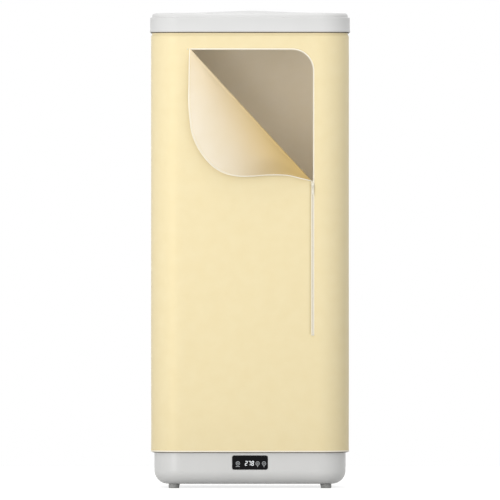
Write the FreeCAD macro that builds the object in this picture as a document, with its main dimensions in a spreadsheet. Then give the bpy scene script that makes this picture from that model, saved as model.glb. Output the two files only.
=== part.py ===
import FreeCAD, Part
import math
import os
import re

import Sketcher
from FreeCAD import Rotation, Vector

# A free-standing clothes drying cabinet: a moulded base with fan and heater, four plugged-in tube posts,
# a hanging rail, a zipped cloth cover with its front corner folded open, and a moulded lid.
# X runs to the right, Y to the back, Z up; the origin is on the floor under the middle. Millimetres.

sizes = {
    # cover
    "coverWidth": 594.4,
    "coverDepth": 444.4,
    "coverCorner": 90,
    "clothThick": 1.2,
    "clothGap": 0.3,
    "seamSetback": 60,
    "hemDrop": 8,
    "hemTuck": 30,
    # door opening, its fold and its zip
    "doorHalf": 188.5,
    "doorTopGap": 53.5,
    "doorCorner": 62.5,
    "foldDrop": 410,
    "foldRadius": 8,
    "foldGap": 0.4,
    "zipDrop": 857,
    "zipSlit": 1.2,
    "zipRow": 3.2,
    "zipThick": 2.4,
    "stopTall": 3,
    # zip slider and its pull
    "sliderTall": 22,
    "sliderWide": 9.2,
    "sliderTail": 5.9,
    "sliderCrown": 5.5,
    "shoulderLow": 2.2,
    "shoulderHigh": 8.8,
    "sliderPlate": 1.6,
    "sliderGap": 0.5,
    "sliderNeck": 0.6,
    "neckLow": 2.6,
    "neckHigh": 9.2,
    "eyeWide": 2,
    "eyeWall": 1.4,
    "eyeDeep": 3.4,
    "eyeTall": 4.4,
    "pullLong": 24,
    "pullWide": 7,
    "pullWaist": 5,
    "waistHigh": 8.4,
    "waistLow": 10.8,
    "pullThick": 1.2,
    "pullSlotWide": 3.5,
    "pullSlotLong": 6.6,
    "pullBarLong": 5.6,
    "pullBarRadius": 0.7,
    # lid
    "lidWall": 2.5,
    "lidBand": 44,
    "lidStep": 6,
    "lidTier": 13,
    "lidEdge": 3,
    "lidSoften": 1,
    "domeRadius": 210,
    "domeRise": 9,
    "ventCount": 12,
    "ventWide": 20,
    "ventTall": 7.5,
    "ventPitch": 30,
    "ventRise": 2,
    # frame
    "cabinHeight": 1249,
    "frameRaise": 2,
    "postRadius": 9.5,
    "postWall": 1.2,
    "postInset": 40,
    "postFit": 0.15,
    "pegLong": 30,
    "frameFlange": 45,
    "framePlate": 3,
    "railRadius": 12.5,
    "railWall": 1.2,
    "railDrop": 35,
    "railSocketLong": 26,
    "railSocketBore": 20,
    "railSocketRim": 8,
    "railSocketInset": 5,
    # base
    "footTall": 13,
    "footRadius": 16,
    "footEdge": 1.5,
    "footInsetX": 59,
    "footInsetY": 59,
    "baseInset": 9.7,
    "shellHeight": 105,
    "shellWall": 3,
    "baseEdge": 40,
    "deckPlate": 3,
    "deckSkirt": 2.5,
    "skirtRise": 9,
    "skirtDrop": 6,
    "displayWide": 107,
    "displayTall": 42.5,
    "displayThick": 2.3,
    "displayCorner": 6,
    "displayLedge": 5,
    "displayDrop": 40,
    "displaySeat": 1.5,
    "partGap": 0.3,
    "louvreCount": 7,
    "louvreWide": 90,
    "louvreTall": 3.5,
    "louvrePitch": 7,
    "louvreDrop": 18,
    # air path
    "fanBore": 78,
    "ductWall": 2.5,
    "shroudTall": 60,
    "tipGap": 1.5,
    "hubRadius": 26,
    "hubTall": 18,
    "hubEdge": 5,
    "bladeCount": 7,
    "bladeThick": 2,
    "bladeCamber": 4,
    "bladeSink": 3,
    "bladeChord": 40,
    "bladePitch": 30,
    "shaftRadius": 3,
    "shaftFit": 0.05,
    "shaftLong": 20,
    "motorRadius": 24,
    "motorTall": 28,
    "motorGap": 2,
    "armWide": 10,
    "armThick": 4,
    "intakeRadius": 72,
    "filterThick": 1.5,
    "filterLedge": 4,
    "intakeSlots": 8,
    "outletRadius": 80,
    "outletFlange": 5,
    "outletSlots": 8,
    "grilleThick": 2.5,
    "grilleHub": 18,
    "grilleRib": 5,
    "heaterSide": 124,
    "heaterTall": 16,
    "heaterWall": 24,
    "heaterLedge": 3,
    "finCount": 11,
    "finThick": 2,
    "finRim": 6,
    "thermostatRadius": 6,
    "thermostatTall": 6,
    "earLong": 22,
    "earWide": 9,
    "earThick": 1,
    # electrics
    "boardWide": 120,
    "boardTall": 56,
    "boardThick": 1.6,
    "boardGap": 5,
    "ribInset": 5,
    "ribThick": 3,
    "moduleGap": 3,
    "relayInset": 10,
    "relayWide": 18,
    "relayTall": 20,
    "coilWide": 30,
    "coilTall": 28,
    "relayDeep": 14,
    "glandHole": 6.5,
    "glandFlange": 9,
    "glandBore": 3.5,
    "glandNose": 8,
    "glandTail": 4,
    "glandDrop": 40,
    "glandAcross": 180,
    # how far a cut runs past what it cuts
    "past": 1,
}

# places worked out from the sizes above
places = {
    "shellTop": "footTall + shellHeight",
    "floorTop": "footTall + shellWall",
    "deckTop": "shellTop + deckPlate",
    "lidBottom": "deckTop + cabinHeight",
    "bandTop": "lidBottom + lidBand",
    "tierTop": "bandTop + lidTier",
    "coverX": "coverWidth / 2",
    "coverY": "coverDepth / 2",
    "innerX": "coverX - clothThick - clothGap",
    "innerY": "coverY - clothThick - clothGap",
    "innerCorner": "coverCorner - clothThick - clothGap",
    "lidX": "coverX + clothGap + lidWall",
    "lidY": "coverY + clothGap + lidWall",
    "lidCorner": "coverCorner + clothGap + lidWall",
    "baseX": "coverX - baseInset",
    "baseY": "coverY - baseInset",
    "baseCorner": "coverCorner - baseInset",
    "coverBottom": "shellTop - hemDrop",
    "coverTop": "lidBottom + hemTuck",
    "clothMiddle": "coverY - clothThick / 2",
    # the frame hangs in the lid, its wall under the step of the lid
    "frameBottom": "lidBottom + frameRaise",
    "frameTop": "bandTop - lidWall",
    "postX": "coverX - postInset",
    "postY": "coverY - postInset",
    "postTall": "frameBottom - deckTop",
    "pegRadius": "postRadius - postWall - postFit",
    "railZ": "lidBottom - railDrop",
    "railSocketX": "innerX - railSocketInset",
    "railHalf": "railSocketX - railSocketLong + railSocketBore - partGap",
    # door: the centre line of its zip, and the line where the cloth starts to roll over
    "doorTop": "lidBottom - doorTopGap",
    "rowNear": "zipSlit / 2",
    "rowFar": "zipSlit / 2 + zipRow",
    "zipBottom": "doorTop - zipDrop",
    "foldEnd": "doorTop - foldDrop",
    "foldAngle": "atan(foldDrop / (2 * doorHalf))",
    "foldLong": "sqrt(foldDrop ^ 2 + 4 * doorHalf ^ 2)",
    "rollLong": "pi * foldRadius",
    # air path, from the floor up
    "shroudTop": "floorTop + shroudTall",
    "heaterHalf": "heaterSide / 2 + heaterWall",
    "heaterTop": "shroudTop + heaterTall + 2 * heaterLedge",
    "motorBottom": "floorTop + armThick",
    "motorTop": "motorBottom + motorTall",
    "hubBottom": "motorTop + motorGap",
    "displayZ": "shellTop - displayDrop",
    "louvreZ": "shellTop - louvreDrop",
    "glandZ": "shellTop - glandDrop",
}

document = FreeCAD.newDocument("DryingCabinet")
sheet = document.addObject("Spreadsheet::Sheet", "Sizes")
for line, (name, number) in enumerate(sizes.items(), start=1):
    sheet.set(f"A{line}", name)
    sheet.set(f"B{line}", str(number))
    sheet.setAlias(f"B{line}", name)
document.recompute()

across = Vector(1, 0, 0)
inward = Vector(0, 1, 0)


def formula(text):
    def named(match):
        name = match.group()
        if name in sizes:
            return "Sizes." + name
        if name in places:
            return "(" + formula(places[name]) + ")"
        return name

    return re.sub(r"[A-Za-z]\w*", named, str(text))


def bind(thing, prop, text):
    thing.setExpression(prop, formula(text))


def value(text):
    number = sheet.evalExpression(formula(text))
    return float(getattr(number, "Value", number))


def spot(place):
    return Vector(value(place[0]), value(place[1]), 0)


# bodies, sketches and features


def newBody(label, x=0, y=0, z=0):
    body = document.addObject("PartDesign::Body", label)
    body.Label = label
    for axis, place in zip("xyz", (x, y, z)):
        bind(body, f"Placement.Base.{axis}", place)
    return body


def origin(body, role):
    return next(item for item in body.Origin.OriginFeatures if item.Role == role)


def newSketch(body, plane="XY_Plane", offset=0):
    sketch = body.newObject("Sketcher::SketchObject", body.Name + "Sketch")
    sketch.AttachmentSupport = (origin(body, plane), [""])
    sketch.MapMode = "FlatFace"
    bind(sketch, "AttachmentOffset.Base.z", offset)
    return sketch


# holds one coordinate of a point at a distance from the sketch's origin
def hold(sketch, kind, geometry, point, place):
    present = sketch.getPoint(geometry, point)
    now = present.x if kind == "DistanceX" else present.y
    number = sketch.addConstraint(Sketcher.Constraint(kind, -1, 1, geometry, point, now))
    bind(sketch, f"Constraints[{number}]", place)


def lock(sketch, geometry, point, place):
    hold(sketch, "DistanceX", geometry, point, place[0])
    hold(sketch, "DistanceY", geometry, point, place[1])


def join(sketch, first, firstPoint, second, secondPoint):
    sketch.addConstraint(Sketcher.Constraint("Coincident", first, firstPoint, second, secondPoint))


# arcs run anticlockwise, so a clockwise one is drawn from its end back to its start
def bend(sketch, start, centre, end):
    middle = spot(centre)
    arms = [spot(start) - middle, spot(end) - middle]
    forward = arms[0].cross(arms[1]).z > 0
    turns = [math.atan2(arm.y, arm.x) for arm in arms]
    if not forward:
        turns.reverse()
    if turns[1] < turns[0]:
        turns[1] += 2 * math.pi
    disc = Part.Circle(middle, Vector(0, 0, 1), arms[0].Length)
    arc = sketch.addGeometry(Part.ArcOfCircle(disc, *turns))
    lean = arms[0] + arms[1]
    if abs(lean.x) > abs(lean.y):
        hold(sketch, "DistanceX", arc, 3, centre[0])
    else:
        hold(sketch, "DistanceY", arc, 3, centre[1])
    return (arc, 1, 2) if forward else (arc, 2, 1)


# a closed outline through corners; one given as a start, a centre and an end is rounded
def polygon(sketch, corners):
    stops = [corner if len(corner) == 3 else (corner, None, corner) for corner in corners]
    lines = []
    for index, stop in enumerate(stops):
        following = stops[(index + 1) % len(stops)]
        lines.append(sketch.addGeometry(Part.LineSegment(spot(stop[2]), spot(following[0]))))
    for index, (start, centre, end) in enumerate(stops):
        before = lines[index - 1]
        after = lines[index]
        if centre is None:
            join(sketch, before, 2, after, 1)
            lock(sketch, after, 1, start)
        else:
            arc, first, last = bend(sketch, start, centre, end)
            join(sketch, before, 2, arc, first)
            join(sketch, arc, last, after, 1)
            lock(sketch, arc, first, start)
            lock(sketch, arc, last, end)


def rectangle(sketch, left, right, low, high):
    polygon(sketch, [(left, low), (right, low), (right, high), (left, high)])


def centred(sketch, halfX, halfY):
    rectangle(sketch, f"-({halfX})", halfX, f"-({halfY})", halfY)


def softRectangle(sketch, left, right, low, high, corner):
    nearLeft = f"({left}) + ({corner})"
    nearRight = f"({right}) - ({corner})"
    nearLow = f"({low}) + ({corner})"
    nearHigh = f"({high}) - ({corner})"
    polygon(
        sketch,
        [
            ((nearRight, low), (nearRight, nearLow), (right, nearLow)),
            ((right, nearHigh), (nearRight, nearHigh), (nearRight, high)),
            ((nearLeft, high), (nearLeft, nearHigh), (left, nearHigh)),
            ((left, nearLow), (nearLeft, nearLow), (nearLeft, low)),
        ],
    )


def circle(sketch, x, y, radius):
    number = sketch.addGeometry(Part.Circle(spot((x, y)), Vector(0, 0, 1), value(radius)))
    lock(sketch, number, 3, (x, y))
    size = sketch.addConstraint(Sketcher.Constraint("Radius", number, value(radius)))
    bind(sketch, f"Constraints[{size}]", radius)


def sixSided(sketch, x, y, radius):
    turns = [60 * side for side in range(6)]
    polygon(sketch, [(f"{x} + {radius} * cos({t})", f"{y} + {radius} * sin({t})") for t in turns])


def feature(body, kind, sketch, length, backward=False, middle=False):
    item = body.newObject("PartDesign::" + kind, body.Name + kind)
    item.Profile = sketch
    item.Reversed = backward
    if middle:
        item.SideType = "Symmetric"
    if length is None:
        item.Type = "ThroughAll"
    else:
        bind(item, "Length", length)
    before = item.BaseFeature.Shape.Volume if item.BaseFeature else 0
    document.recompute()
    change = item.Shape.Volume - before
    if (change > 0) != (kind == "Pad"):
        raise ValueError(f"{item.Name} changed nothing")
    return item


def pad(body, sketch, length, backward=False, middle=False):
    return feature(body, "Pad", sketch, length, backward, middle)


# a cut runs against its sketch's normal, or along it when upward
def cut(body, sketch, length=None, upward=False, middle=False):
    return feature(body, "Pocket", sketch, length, upward, middle)


# how near a height an edge lies to count as lying at it
levelReach = 0.01


# rounds or bevels every edge that lies at one height
def dressLevel(body, kind, prop, level, size):
    base = body.Tip
    names = []
    for number, edge in enumerate(base.Shape.Edges, start=1):
        box = edge.BoundBox
        if max(abs(box.ZMin - value(level)), abs(box.ZMax - value(level))) < levelReach:
            names.append(f"Edge{number}")
    item = body.newObject("PartDesign::" + kind, body.Name + kind)
    item.Base = (base, names)
    bind(item, prop, size)
    document.recompute()
    if "Invalid" in item.State or not names:
        raise ValueError(f"{item.Name} did not build")
    return item


# bevels an outer edge twice, so that it reads as round
def softenLevel(body, level):
    dressLevel(body, "Chamfer", "Size", level, "lidEdge")
    dressLevel(body, "Chamfer", "Size", level, "lidSoften")
    dressLevel(body, "Chamfer", "Size", f"{level} - lidEdge", "lidSoften")


def row(body, item, axis, pitch, count, backward=False):
    pattern = body.newObject("PartDesign::LinearPattern", body.Name + "Row")
    pattern.Originals = [item]
    pattern.Direction = (origin(body, axis), [""])
    pattern.Reversed = backward
    bind(pattern, "Length", f"({pitch}) * ({count} - 1)")
    bind(pattern, "Occurrences", count)
    body.Tip = pattern
    document.recompute()
    return pattern


def ring(body, item, count):
    pattern = body.newObject("PartDesign::PolarPattern", body.Name + "Ring")
    pattern.Originals = [item]
    pattern.Axis = (origin(body, "Z_Axis"), [""])
    pattern.Angle = 360
    bind(pattern, "Occurrences", count)
    body.Tip = pattern
    document.recompute()
    return pattern


def revolve(body, corners):
    sketch = newSketch(body, "XZ_Plane")
    polygon(sketch, corners)
    item = body.newObject("PartDesign::Revolution", body.Name + "Revolution")
    item.Profile = sketch
    item.ReferenceAxis = (sketch, ["V_Axis"])
    item.Angle = 360
    document.recompute()
    return item


# a block or a hollow with rounded upright corners, from one height to another
def roundedBlock(body, halfX, halfY, corner, low, high):
    sketch = newSketch(body, "XY_Plane", low)
    softRectangle(sketch, f"-({halfX})", halfX, f"-({halfY})", halfY, corner)
    return pad(body, sketch, f"{high} - ({low})")


def roundedHollow(body, halfX, halfY, corner, low, high):
    sketch = newSketch(body, "XY_Plane", low)
    softRectangle(sketch, f"-({halfX})", halfX, f"-({halfY})", halfY, corner)
    return cut(body, sketch, f"{high} - ({low})", upward=True)


corners = {
    "front_left": ("-", "-"),
    "front_right": ("", "-"),
    "rear_left": ("-", ""),
    "rear_right": ("", ""),
}


# one circle at each corner, all at the same distance from the middle
def fourCircles(body, level, x, y, radius):
    sketch = newSketch(body, "XY_Plane", level)
    for signX, signY in corners.values():
        circle(sketch, f"{signX}({x})", f"{signY}({y})", radius)
    return sketch


# the moulded base: a tub with a deep rolled bottom edge
def baseShell():
    body = newBody("base_shell")
    roundedBlock(body, "baseX", "baseY", "baseCorner", "footTall", "shellTop")
    wallX = "baseX - shellWall"
    wallY = "baseY - shellWall"
    roundedHollow(body, wallX, wallY, "baseCorner - shellWall", "floorTop", "shellTop + past")
    dressLevel(body, "Chamfer", "Size", "floorTop", "baseEdge - shellWall")
    dressLevel(body, "Fillet", "Radius", "footTall", "baseEdge")
    # stepped hole in the floor: the grille sits in the wide part, the filter in the narrow one
    wide = newSketch(body, "XY_Plane", "footTall")
    circle(wide, 0, 0, "intakeRadius")
    cut(body, wide, "filterThick", upward=True)
    narrow = newSketch(body, "XY_Plane", "footTall")
    circle(narrow, 0, 0, "intakeRadius - filterLedge")
    cut(body, narrow, "shellWall + past", upward=True)
    # display seat: a shallow recess round a window through the front wall
    seat = newSketch(body, "XZ_Plane", "baseY")
    halfWide = "displayWide / 2 + partGap"
    halfTall = "displayTall / 2 + partGap"
    low = f"displayZ - ({halfTall})"
    high = f"displayZ + {halfTall}"
    softRectangle(seat, f"-({halfWide})", halfWide, low, high, "displayCorner + partGap")
    cut(body, seat, "displaySeat")
    window = newSketch(body, "XZ_Plane", "baseY")
    halfWide = "displayWide / 2 - displayLedge"
    halfTall = "displayTall / 2 - displayLedge"
    rectangle(window, f"-({halfWide})", halfWide, f"displayZ - ({halfTall})", f"displayZ + {halfTall}")
    cut(body, window, "shellWall + past")
    # two ribs behind it carry the board
    ribs = newSketch(body, "XZ_Plane", "baseY - shellWall / 2")
    near = "boardWide / 2 - ribInset - ribThick"
    far = "boardWide / 2 - ribInset"
    rectangle(ribs, near, far, "displayZ - boardTall / 2", "displayZ + boardTall / 2")
    rectangle(ribs, f"-({far})", f"-({near})", "displayZ - boardTall / 2", "displayZ + boardTall / 2")
    pad(body, ribs, "shellWall / 2 + boardGap", backward=True)
    # rear wall: louvres and the hole for the cord gland
    slot = newSketch(body, "XZ_Plane", "-(baseY + past)")
    rectangle(slot, "-louvreWide / 2", "louvreWide / 2", "louvreZ - louvreTall", "louvreZ")
    first = cut(body, slot, "shellWall + 2 * past", upward=True)
    row(body, first, "Z_Axis", "louvrePitch", "louvreCount", backward=True)
    gland = newSketch(body, "XZ_Plane", "-(baseY + past)")
    circle(gland, "-glandAcross", "glandZ", "glandHole")
    cut(body, gland, "shellWall + 2 * past", upward=True)
    return body


# the deck closes the tub, carries the posts and the round air outlet, and holds the hem on its skirt
def baseDeck():
    body = newBody("base_deck")
    roundedBlock(body, "innerX", "innerY", "innerCorner", "shellTop - skirtDrop", "deckTop + skirtRise")
    wallX = "innerX - deckSkirt"
    wallY = "innerY - deckSkirt"
    wallCorner = "innerCorner - deckSkirt"
    roundedHollow(body, wallX, wallY, wallCorner, "deckTop", "deckTop + skirtRise + past")
    roundedHollow(body, wallX, wallY, wallCorner, "shellTop - skirtDrop - past", "shellTop")
    collar = newSketch(body, "XY_Plane", "heaterTop + partGap")
    circle(collar, 0, 0, "outletRadius + ductWall")
    pad(body, collar, "shellTop - heaterTop - partGap + deckPlate / 2")
    bore = newSketch(body, "XY_Plane", "heaterTop")
    circle(bore, 0, 0, "outletRadius")
    cut(body, bore, "deckTop - heaterTop + past", upward=True)
    return body


# two rings of slots through a round grille, narrow ribs between them
def slotRings(body, level, radius, thick, count):
    middle = f"(({radius}) + grilleHub) / 2"
    rows = (
        ("grilleHub", f"{middle} - grilleRib / 2", count),
        (f"{middle} + grilleRib / 2", f"{radius} - grilleRib", f"(2 * {count})"),
    )
    for near, far, slots in rows:
        sketch = newSketch(body, "XY_Plane", f"{level} - past")
        nearHalf = f"(pi * ({near}) / {slots} - grilleRib / 2)"
        farHalf = f"(pi * ({far}) / {slots} - grilleRib / 2)"
        polygon(
            sketch,
            [
                (near, f"-{nearHalf}"),
                (far, f"-{farHalf}"),
                (far, farHalf),
                (near, nearHalf),
            ],
        )
        ring(body, cut(body, sketch, f"{thick} + 2 * past", upward=True), slots)


def outletGrille():
    body = newBody("outlet_grille")
    plate = newSketch(body, "XY_Plane", "deckTop")
    circle(plate, 0, 0, "outletRadius + outletFlange")
    pad(body, plate, "grilleThick")
    slotRings(body, "deckTop", "outletRadius - ductWall", "grilleThick", "outletSlots")
    return body


def intakeGrille():
    body = newBody("intake_grille")
    plate = newSketch(body, "XY_Plane", "footTall")
    circle(plate, 0, 0, "intakeRadius - partGap")
    pad(body, plate, "filterThick")
    slotRings(body, "footTall", "intakeRadius - filterLedge", "filterThick", "intakeSlots")
    return body


def dustFilter():
    body = newBody("dust_filter")
    disc = newSketch(body, "XY_Plane", "footTall + filterThick")
    circle(disc, 0, 0, "intakeRadius - filterLedge - partGap")
    pad(body, disc, "shellWall - filterThick")
    return body


# round shroud with a three-armed seat for the motor
def fanShroud():
    body = newBody("fan_shroud")
    tube = newSketch(body, "XY_Plane", "floorTop")
    circle(tube, 0, 0, "fanBore + ductWall")
    circle(tube, 0, 0, "fanBore")
    pad(body, tube, "shroudTall")
    flange = newSketch(body, "XY_Plane", "shroudTop")
    centred(flange, "heaterHalf", "heaterHalf")
    circle(flange, 0, 0, "fanBore")
    pad(body, flange, "heaterLedge", backward=True)
    seat = newSketch(body, "XY_Plane", "floorTop")
    circle(seat, 0, 0, "motorRadius")
    pad(body, seat, "armThick")
    arm = newSketch(body, "XY_Plane", "floorTop")
    rectangle(arm, "motorRadius / 2", "fanBore + ductWall / 2", "-armWide / 2", "armWide / 2")
    ring(body, pad(body, arm, "armThick"), 3)
    return body


def fanMotor():
    body = newBody("fan_motor")
    revolve(
        body,
        [
            ("shaftRadius + shaftFit", "motorTop - shaftLong"),
            ("0", "motorTop - shaftLong"),
            ("0", "motorBottom"),
            ("motorRadius", "motorBottom"),
            ("motorRadius", "motorTop"),
            ("shaftRadius + shaftFit", "motorTop"),
        ],
    )
    return body


# hub and shaft in one piece, with cambered blades set at a pitch
def fanImpeller():
    body = newBody("fan_impeller")
    revolve(
        body,
        [
            ("0", "motorTop - shaftLong + partGap"),
            ("shaftRadius", "motorTop - shaftLong + partGap"),
            ("shaftRadius", "hubBottom"),
            ("hubRadius", "hubBottom"),
            ("hubRadius", "hubBottom + hubTall - hubEdge"),
            ("hubRadius - hubEdge", "hubBottom + hubTall"),
            ("0", "hubBottom + hubTall"),
        ],
    )
    blade = newSketch(body, "YZ_Plane", "hubRadius - bladeSink")
    polygon(blade, bladeSection())
    ring(body, pad(body, blade, "fanBore - hubRadius + bladeSink"), "bladeCount")
    # the tips are trimmed to a round sweep inside the shroud
    tips = newSketch(body, "XY_Plane", "floorTop")
    circle(tips, 0, 0, "fanBore + bladeChord")
    circle(tips, 0, 0, "fanBore - tipGap")
    cut(body, tips, "shroudTall", upward=True)
    return body


# a thin cambered section, seen along the blade
def bladeSection():
    half = "bladeChord / 2"
    stations = [
        (f"-{half}", "-bladeThick / 2"),
        ("0", "bladeCamber - bladeThick / 2"),
        (half, "-bladeThick / 2"),
        (half, "bladeThick / 2"),
        ("0", "bladeCamber + bladeThick / 2"),
        (f"-{half}", "bladeThick / 2"),
    ]
    points = []
    for along, lift in stations:
        y = f"({along}) * cos(bladePitch) - ({lift}) * sin(bladePitch)"
        z = f"({along}) * sin(bladePitch) + ({lift}) * cos(bladePitch) + hubBottom + hubTall / 2"
        points.append((y, z))
    return points


def heaterFrame():
    body = newBody("heater_frame")
    outer = newSketch(body, "XY_Plane", "shroudTop")
    centred(outer, "heaterHalf", "heaterHalf")
    pad(body, outer, "heaterTop - shroudTop")
    window = newSketch(body, "XY_Plane", "shroudTop + heaterLedge")
    centred(window, "heaterSide / 2 + partGap", "heaterSide / 2 + partGap")
    cut(body, window, "heaterTop - shroudTop", upward=True)
    ledge = newSketch(body, "XY_Plane", "shroudTop - past")
    centred(ledge, "heaterSide / 2 - heaterLedge", "heaterSide / 2 - heaterLedge")
    cut(body, ledge, "heaterLedge + 2 * past", upward=True)
    return body


# heating block: a frame of fins with through slots between them
def heaterCore():
    body = newBody("heater_core")
    block = newSketch(body, "XY_Plane", "shroudTop + heaterLedge")
    centred(block, "heaterSide / 2", "heaterSide / 2")
    pad(body, block, "heaterTall")
    pitch = "(heaterSide - 2 * finRim + finThick) / finCount"
    left = "-heaterSide / 2 + finRim"
    slot = newSketch(body, "XY_Plane", "shroudTop + heaterLedge - past")
    rectangle(slot, left, f"{left} + {pitch} - finThick", left, f"-({left})")
    row(body, cut(body, slot, "heaterTall + 2 * past", upward=True), "X_Axis", pitch, "finCount")
    return body


# a round can on a flat bracket with two ears, on the rim of the heater frame
def thermostat():
    body = newBody("thermostat")
    seatX = "heaterHalf - earLong / 2 - partGap"
    seatY = "heaterHalf - earWide / 2 - partGap"
    ears = newSketch(body, "XY_Plane", "heaterTop")
    rectangle(
        ears,
        f"{seatX} - earLong / 2",
        f"{seatX} + earLong / 2",
        f"{seatY} - earWide / 2",
        f"{seatY} + earWide / 2",
    )
    pad(body, ears, "earThick")
    can = newSketch(body, "XY_Plane", "heaterTop")
    circle(can, seatX, seatY, "thermostatRadius")
    pad(body, can, "thermostatTall")
    return body


def displayWindow():
    body = newBody("display_window")
    face = newSketch(body, "XZ_Plane", "baseY - displaySeat")
    low = "displayZ - displayTall / 2"
    high = "displayZ + displayTall / 2"
    softRectangle(face, "-displayWide / 2", "displayWide / 2", low, high, "displayCorner")
    pad(body, face, "displayThick")
    return body


def controlBoard():
    body = newBody("control_board")
    card = newSketch(body, "XZ_Plane", "baseY - shellWall - boardGap")
    rectangle(card, "-boardWide / 2", "boardWide / 2", "displayZ - boardTall / 2", "displayZ + boardTall / 2")
    pad(body, card, "boardThick", backward=True)
    # the display module reaches through the window in the wall
    module = newSketch(body, "XZ_Plane", "baseY - shellWall - boardGap")
    halfWide = "displayWide / 2 - displayLedge - moduleGap"
    halfTall = "displayTall / 2 - displayLedge - moduleGap"
    rectangle(module, f"-({halfWide})", halfWide, f"displayZ - ({halfTall})", f"displayZ + {halfTall}")
    pad(body, module, "boardGap + shellWall - displaySeat - partGap")
    # relay and coil on the back of the board
    boxes = newSketch(body, "XZ_Plane", "baseY - shellWall - boardGap - boardThick")
    left = "-boardWide / 2 + relayInset"
    right = "boardWide / 2 - relayInset"
    rectangle(boxes, left, f"{left} + relayWide", "displayZ - relayTall / 2", "displayZ + relayTall / 2")
    rectangle(boxes, f"{right} - coilWide", right, "displayZ - coilTall / 2", "displayZ + coilTall / 2")
    pad(body, boxes, "relayDeep", backward=True)
    return body


# four rubber feet under the flat of the tub
def rubberFeet():
    body = newBody("rubber_feet")
    pad(body, fourCircles(body, 0, "baseX - footInsetX", "baseY - footInsetY", "footRadius"), "footTall")
    dressLevel(body, "Chamfer", "Size", "0", "footEdge")
    return body


# a six-sided gland on the rear wall, with a round stub through it
def cordGland():
    body = newBody("cord_gland", "-glandAcross", "baseY", "glandZ")
    body.Placement.Rotation = Rotation(across, -90)
    nut = newSketch(body)
    sixSided(nut, "0", "0", "glandFlange")
    pad(body, nut, "glandNose")
    stub = newSketch(body)
    circle(stub, 0, 0, "glandHole - partGap")
    pad(body, stub, "shellWall + glandTail", backward=True)
    bore = newSketch(body)
    circle(bore, 0, 0, "glandBore")
    cut(body, bore, None, middle=True)
    return body


# the frame: four tube posts, each held on a plug at its two ends
def tubePost(label, signX, signY):
    body = newBody(label, f"{signX}postX", f"{signY}postY", "deckTop")
    section = newSketch(body)
    circle(section, 0, 0, "postRadius")
    circle(section, 0, 0, "postRadius - postWall")
    pad(body, section, "postTall")
    return body


def postPlugs():
    body = newBody("post_plugs")
    for level, backward in (("deckTop", False), ("frameBottom", True)):
        sketch = newSketch(body, "XY_Plane", level)
        for signX, signY in corners.values():
            sixSided(sketch, f"{signX}postX", f"{signY}postY", "pegRadius")
        pad(body, sketch, "pegLong", backward)
    return body


# ring inside the lid: a flange that rests on the posts, and a wall that the lid rests on
def topFrame():
    body = newBody("top_frame")
    roundedBlock(body, "innerX", "innerY", "innerCorner", "frameBottom", "frameTop")
    wallX = "innerX - lidWall"
    wallY = "innerY - lidWall"
    wallCorner = "innerCorner - lidWall"
    roundedHollow(body, wallX, wallY, wallCorner, "frameBottom + framePlate", "frameTop + past")
    roundedHollow(
        body,
        "innerX - frameFlange",
        "innerY - frameFlange",
        "innerCorner - frameFlange",
        "frameBottom - past",
        "frameBottom + framePlate + past",
    )
    ventRow(body, f"-({wallY} - past)", "clothThick + clothGap + lidWall + 2 * past")
    return body


# a row of slots through a rear wall, just above the top edge of the cloth
def ventRow(body, plane, deep):
    slot = newSketch(body, "XZ_Plane", plane)
    left = "-ventPitch * (ventCount - 1) / 2 - ventWide / 2"
    low = "coverTop + ventRise"
    rectangle(slot, left, f"{left} + ventWide", low, f"{low} + ventTall")
    first = cut(body, slot, deep)
    row(body, first, "X_Axis", "ventPitch", "ventCount")


# two hangers under the ring, each with a blind bore that takes one end of the rail
def railSockets():
    body = newBody("rail_sockets", 0, 0, "railZ")
    rim = "railRadius + railSocketRim"
    for side, onRight in (("-", False), ("", True)):
        hanger = newSketch(body, "YZ_Plane", f"{side}railSocketX")
        rectangle(hanger, f"-({rim})", rim, "0", "frameBottom - railZ")
        pad(body, hanger, "railSocketLong", backward=onRight)
        nose = newSketch(body, "YZ_Plane", f"{side}railSocketX")
        circle(nose, 0, 0, rim)
        pad(body, nose, "railSocketLong", backward=onRight)
        bore = newSketch(body, "YZ_Plane", f"{side}(railSocketX - railSocketLong)")
        circle(bore, 0, 0, "railRadius + postFit")
        cut(body, bore, "railSocketBore", upward=onRight)
    return body


def hangingRail():
    body = newBody("hanging_rail", 0, 0, "railZ")
    section = newSketch(body, "YZ_Plane")
    circle(section, 0, 0, "railRadius")
    circle(section, 0, 0, "railRadius - railWall")
    pad(body, section, "2 * railHalf", middle=True)
    return body


# the lid: a band, a stepped-in tier and a shallow dome
def topCover():
    body = newBody("top_cover")
    roundedBlock(body, "lidX", "lidY", "lidCorner", "lidBottom", "bandTop")
    softenLevel(body, "bandTop")
    tierX = "lidX - lidStep"
    tierY = "lidY - lidStep"
    roundedBlock(body, tierX, tierY, "lidCorner - lidStep", "bandTop - lidWall", "tierTop")
    dressLevel(body, "Chamfer", "Size", "tierTop", "lidEdge")
    wallX = "lidX - lidWall"
    wallY = "lidY - lidWall"
    roundedHollow(body, wallX, wallY, "lidCorner - lidWall", "lidBottom - past", "bandTop - lidWall")
    roundedHollow(
        body,
        "lidX - lidStep - lidWall",
        "lidY - lidStep - lidWall",
        "lidCorner - lidStep - lidWall",
        "bandTop - lidWall - past",
        "tierTop - lidWall",
    )
    # the dome's profile, as shares of its radius and rise from the rim to the middle
    profile = [("0", "tierTop - lidWall / 2"), ("domeRadius", "tierTop - lidWall / 2")]
    for out, up in [(1, 0), (0.5, 0.6), (0, 1)]:
        profile.append((f"{out} * domeRadius", f"tierTop + {up} * domeRise"))
    revolve(body, profile)
    ventRow(body, f"-({wallY} - past)", "lidWall + 2 * past")
    return body


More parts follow.
